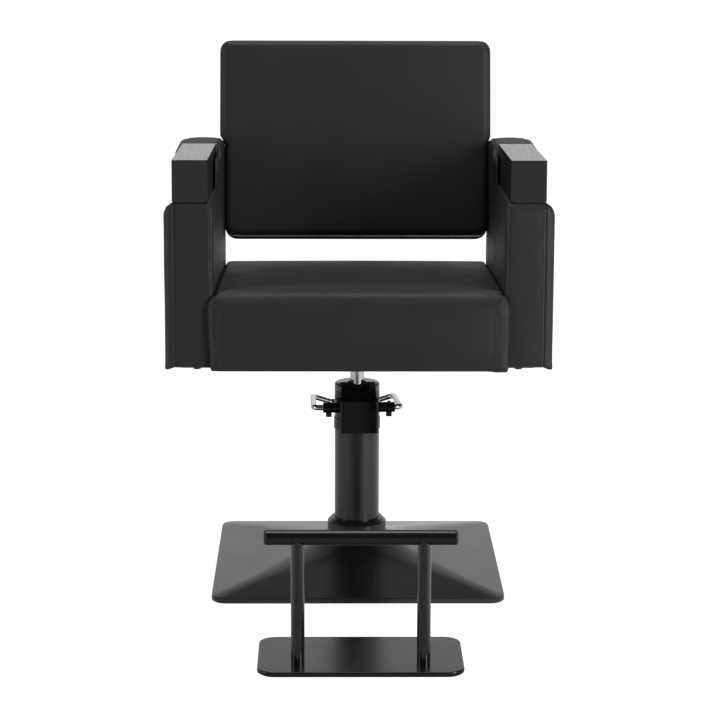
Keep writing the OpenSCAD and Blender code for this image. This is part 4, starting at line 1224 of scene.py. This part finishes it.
def pedal_rod():
    path = bent_path([PUMP_TURN @ Vector(p) for p in PEDAL_CORNERS], PEDAL_BEND, PEDAL_STEPS)
    tube("pedal_loop_fine", path, PEDAL_R, "chrome", "pedal", ("pedal_loop",))


# Base cover

COVER_HALF = 0.2485
COVER_RING = 0.052
COVER_SKIRT = 0.009
COVER_Z0 = 0.0105
COVER_BREAK = 0.0006
COVER_RISE = 0.0525
COVER_STEPS = 60
COVER_CORNER_N = 22
COVER_SIDE_N = 20
COVER_CORNER_SHARE = 0.09  # of the outline's half width, at the square
COVER_ROUND_POWER = 3     # how late it grows round
COVER_FLAT_SHARE = 0.72   # of the rise that is even. The rest comes close to the ring
COVER_STEEP_POWER = 6.5
COVER_INNER_SHARE = 0.79
COVER_TOP = 0.063
COVER_TURN = 40           # degrees


def cover_outline(t):
    """The cover's outline on its way from a square with small corners to the ring."""
    half = COVER_HALF - t * (COVER_HALF - COVER_RING)
    r = half * (COVER_CORNER_SHARE + (1 - COVER_CORNER_SHARE) * t ** COVER_ROUND_POWER)
    out = []
    for q, (sx, sy) in enumerate(((1, 1), (-1, 1), (-1, -1), (1, -1))):
        start = math.pi / 2 * q
        end = start + math.pi / 2
        out += arc_points((sx * (half - r), sy * (half - r)), r, start, end, COVER_CORNER_N)
        next_x, next_y = -sy, sx
        a = np.array(out[-1])
        b = np.array((next_x * (half - r) + r * math.cos(end), next_y * (half - r) + r * math.sin(end)))
        out += [tuple(a + (b - a) * k / COVER_SIDE_N) for k in range(1, COVER_SIDE_N)]
    return out


def base_cover():
    """A pressed pyramid whose sides grow steeper towards the ring."""
    levels = [(0.0, COVER_SKIRT), (0.0, COVER_Z0 - COVER_BREAK)]
    for k in range(COVER_STEPS + 1):
        t = k / COVER_STEPS
        rise = COVER_FLAT_SHARE * t + (1 - COVER_FLAT_SHARE) * t ** COVER_STEEP_POWER
        levels.append((t, COVER_Z0 + COVER_RISE * rise))
    points = [(x, y, z) for t, z in levels for x, y in cover_outline(t)]
    ring = cover_outline(1)
    points += [(x * COVER_INNER_SHARE, y * COVER_INNER_SHARE, COVER_TOP) for x, y in ring]
    faces = loft_faces(len(levels) + 1, len(ring))
    piece = mesh_piece("base_cover_fine", points, faces, "satin_black_steel", "base", ("base_cover",))
    sharpen(piece, COVER_TURN)


# Stage

FLOOR_SIZE = 30.0
FLOOR_CELLS = 4
FLOOR_GREY = 0.38
FLOOR_LIFT = 0.90
PAINTED_REFLECTION_NEAR = 0.01         # painted reflection, a glow that only gloss sees: what gloss shows of the floor near the front of the object
PAINTED_REFLECTION_AWAY = 0.40         # and further in front
PAINTED_REFLECTION_LEFT = 0.38         # and to its left and right in the picture
PAINTED_REFLECTION_RIGHT = 0.66
PAINTED_REFLECTION_MOST = 0.95
FLOOR_ORIGIN = -0.2       # the sides are told apart as seen from here, by X over the way ahead
FLOOR_AHEAD = 0.05
FLOOR_SIDES = (0.35, 1.2)
FLOOR_RUN = (1.2, 3.6)    # from near to further in front
WORLD_LIGHT = 0.36        # what lights the object
STUDIO_BACK = 0.81        # what gloss shows behind the object
STUDIO_FRONT = 0.04       # and in front of it
STUDIO_HIGH = 0.30        # share of that which is left high up
STUDIO_RUN = (-0.1, 0.9)  # from front to back, of the way that gloss looks
STUDIO_RISE = (0.24, 0.62)


def camera():
    """Turned to the right by the yaw, tipped down by the pitch, then rolled."""
    turn = Matrix.Rotation(-CAM_YAW, 4, "Z") @ Matrix.Rotation(math.pi / 2 - CAM_PITCH, 4, "X")
    data = bpy.data.cameras.new("camera")
    data.sensor_fit = "HORIZONTAL"
    data.sensor_width = CAM_SENSOR
    data.lens = CAM_LENS
    made = linked("camera", data)
    made.matrix_world = Matrix.Translation(CAM_PLACE) @ turn @ Matrix.Rotation(CAM_ROLL, 4, "Z")
    bpy.context.scene.camera = made


def softbox(name, place, aim, size, power):
    data = bpy.data.lights.new(name, "AREA")
    data.shape = "RECTANGLE"
    data.size, data.size_y = size
    data.energy = power
    made = linked(name, data)
    made.location = place
    made.rotation_mode = "QUATERNION"
    made.rotation_quaternion = (Vector(aim) - Vector(place)).to_track_quat("-Z", "Y")


def floor_white():
    """Pale, so that it keeps the shadow, and lighter to the camera and to gloss than it is. What gloss
    sees is a painted reflection: a glow that is dim near the object's front and brighter to the sides and
    further in front.
    """
    s = Shader("floor_white", (FLOOR_GREY, FLOOR_GREY, FLOOR_GREY), 0.9, specular=0.1)
    s.set("Emission Color", (1.0, 1.0, 1.0, 1.0))
    path = s.add("LightPath").outputs
    x, y, _ = s.parts(s.place)
    ahead = s.math("MAXIMUM", s.math("SUBTRACT", FLOOR_ORIGIN, y), FLOOR_AHEAD)
    turn = s.math("DIVIDE", x, ahead)
    right = s.ease(turn, FLOOR_SIDES, 0.0, PAINTED_REFLECTION_RIGHT)
    left = s.ease(s.math("MULTIPLY", turn, -1.0), FLOOR_SIDES, 0.0, PAINTED_REFLECTION_LEFT)
    away = s.ease(s.math("MULTIPLY", y, -1.0), FLOOR_RUN, PAINTED_REFLECTION_NEAR, PAINTED_REFLECTION_AWAY)
    # Painted reflection: a glow seen only in gloss, which stands in for a lit floor beside and in front of
    # the object
    painted_reflection = s.math("MINIMUM", s.math("ADD", s.math("ADD", left, right), away), PAINTED_REFLECTION_MOST)
    glossy = s.math("MULTIPLY", path["Is Glossy Ray"], painted_reflection)
    lift = s.math("MULTIPLY", path["Is Camera Ray"], FLOOR_LIFT)
    s.set("Emission Strength", s.math("ADD", glossy, lift))


def floor():
    edit = bmesh.new()
    bmesh.ops.create_grid(edit, x_segments=FLOOR_CELLS, y_segments=FLOOR_CELLS, size=FLOOR_SIZE)
    data = bpy.data.meshes.new("floor")
    edit.to_mesh(data)
    edit.free()
    floor_white()
    data.materials.append(MATERIALS["floor_white"])
    linked("floor", data)


def world():
    """White to the camera, a soft light on the object, and a dark front for gloss to show."""
    made = bpy.data.worlds.new("studio")
    bpy.context.scene.world = made
    made.use_nodes = True
    made.node_tree.nodes.clear()
    g = Graph(made.node_tree)
    path = g.add("LightPath").outputs
    _, y, z = g.parts(g.add("TexCoord").outputs["Generated"])
    fade = g.ease(y, STUDIO_RUN, STUDIO_FRONT, STUDIO_BACK)
    high = g.ease(z, STUDIO_RISE, 1.0, STUDIO_HIGH)
    shiny = g.math("MAXIMUM", path["Is Glossy Ray"], path["Is Transmission Ray"])
    level = g.mix(shiny, WORLD_LIGHT, g.math("MULTIPLY", fade, high))
    seen = g.mix(path["Is Camera Ray"], level, 1.0)
    shade = g.fill(g.add("Background"), {"Color": (1.0, 1.0, 1.0, 1.0), "Strength": seen})
    g.fill(g.add("OutputWorld"), {"Surface": shade["Background"]})


def lights():
    """Soft lamps: each one's place, aim, width and height, and power."""
    softbox("softbox_right", (2.3, -2.3, 1.1), (0.0, 0.0, 0.8), (0.9, 2.0), 62.0)
    softbox("softbox_left", (-2.9, -1.2, 1.1), (0.0, 0.0, 0.8), (0.8, 2.0), 22.0)
    softbox("softbox_top", (0.0, 0.2, 3.2), (0.0, 0.0, 0.4), (1.8, 1.8), 40.0)


# The scene

camera()
make_materials()
paint_cad()
seat_cushion()
arm_cover(1, "left")
arm_cover(-1, "right")
backrest()
refined("armrest_left", WOOD_EDGE, 3, "painted_wood", "seat")
refined("armrest_right", WOOD_EDGE, 3, "painted_wood", "seat")
refined("footrest_plate", PLATE_EDGE, 4, "gloss_black_steel", "footrest", "footrest_black_steel")
refined("base_plate", PLATE_EDGE, 3, "satin_black_steel", "base")
base_cover()
head_cap()
lathe("rod_wiper_fine", WIPER, "black_rubber", "base", ("rod_wiper",))
shoulder()
pedal_rod()
refined("footrest_caps", PLUG_EDGE, 4, "black_plastic", "footrest")
floor()
world()
lights()
bpy.context.scene.view_settings.view_transform = "Standard"
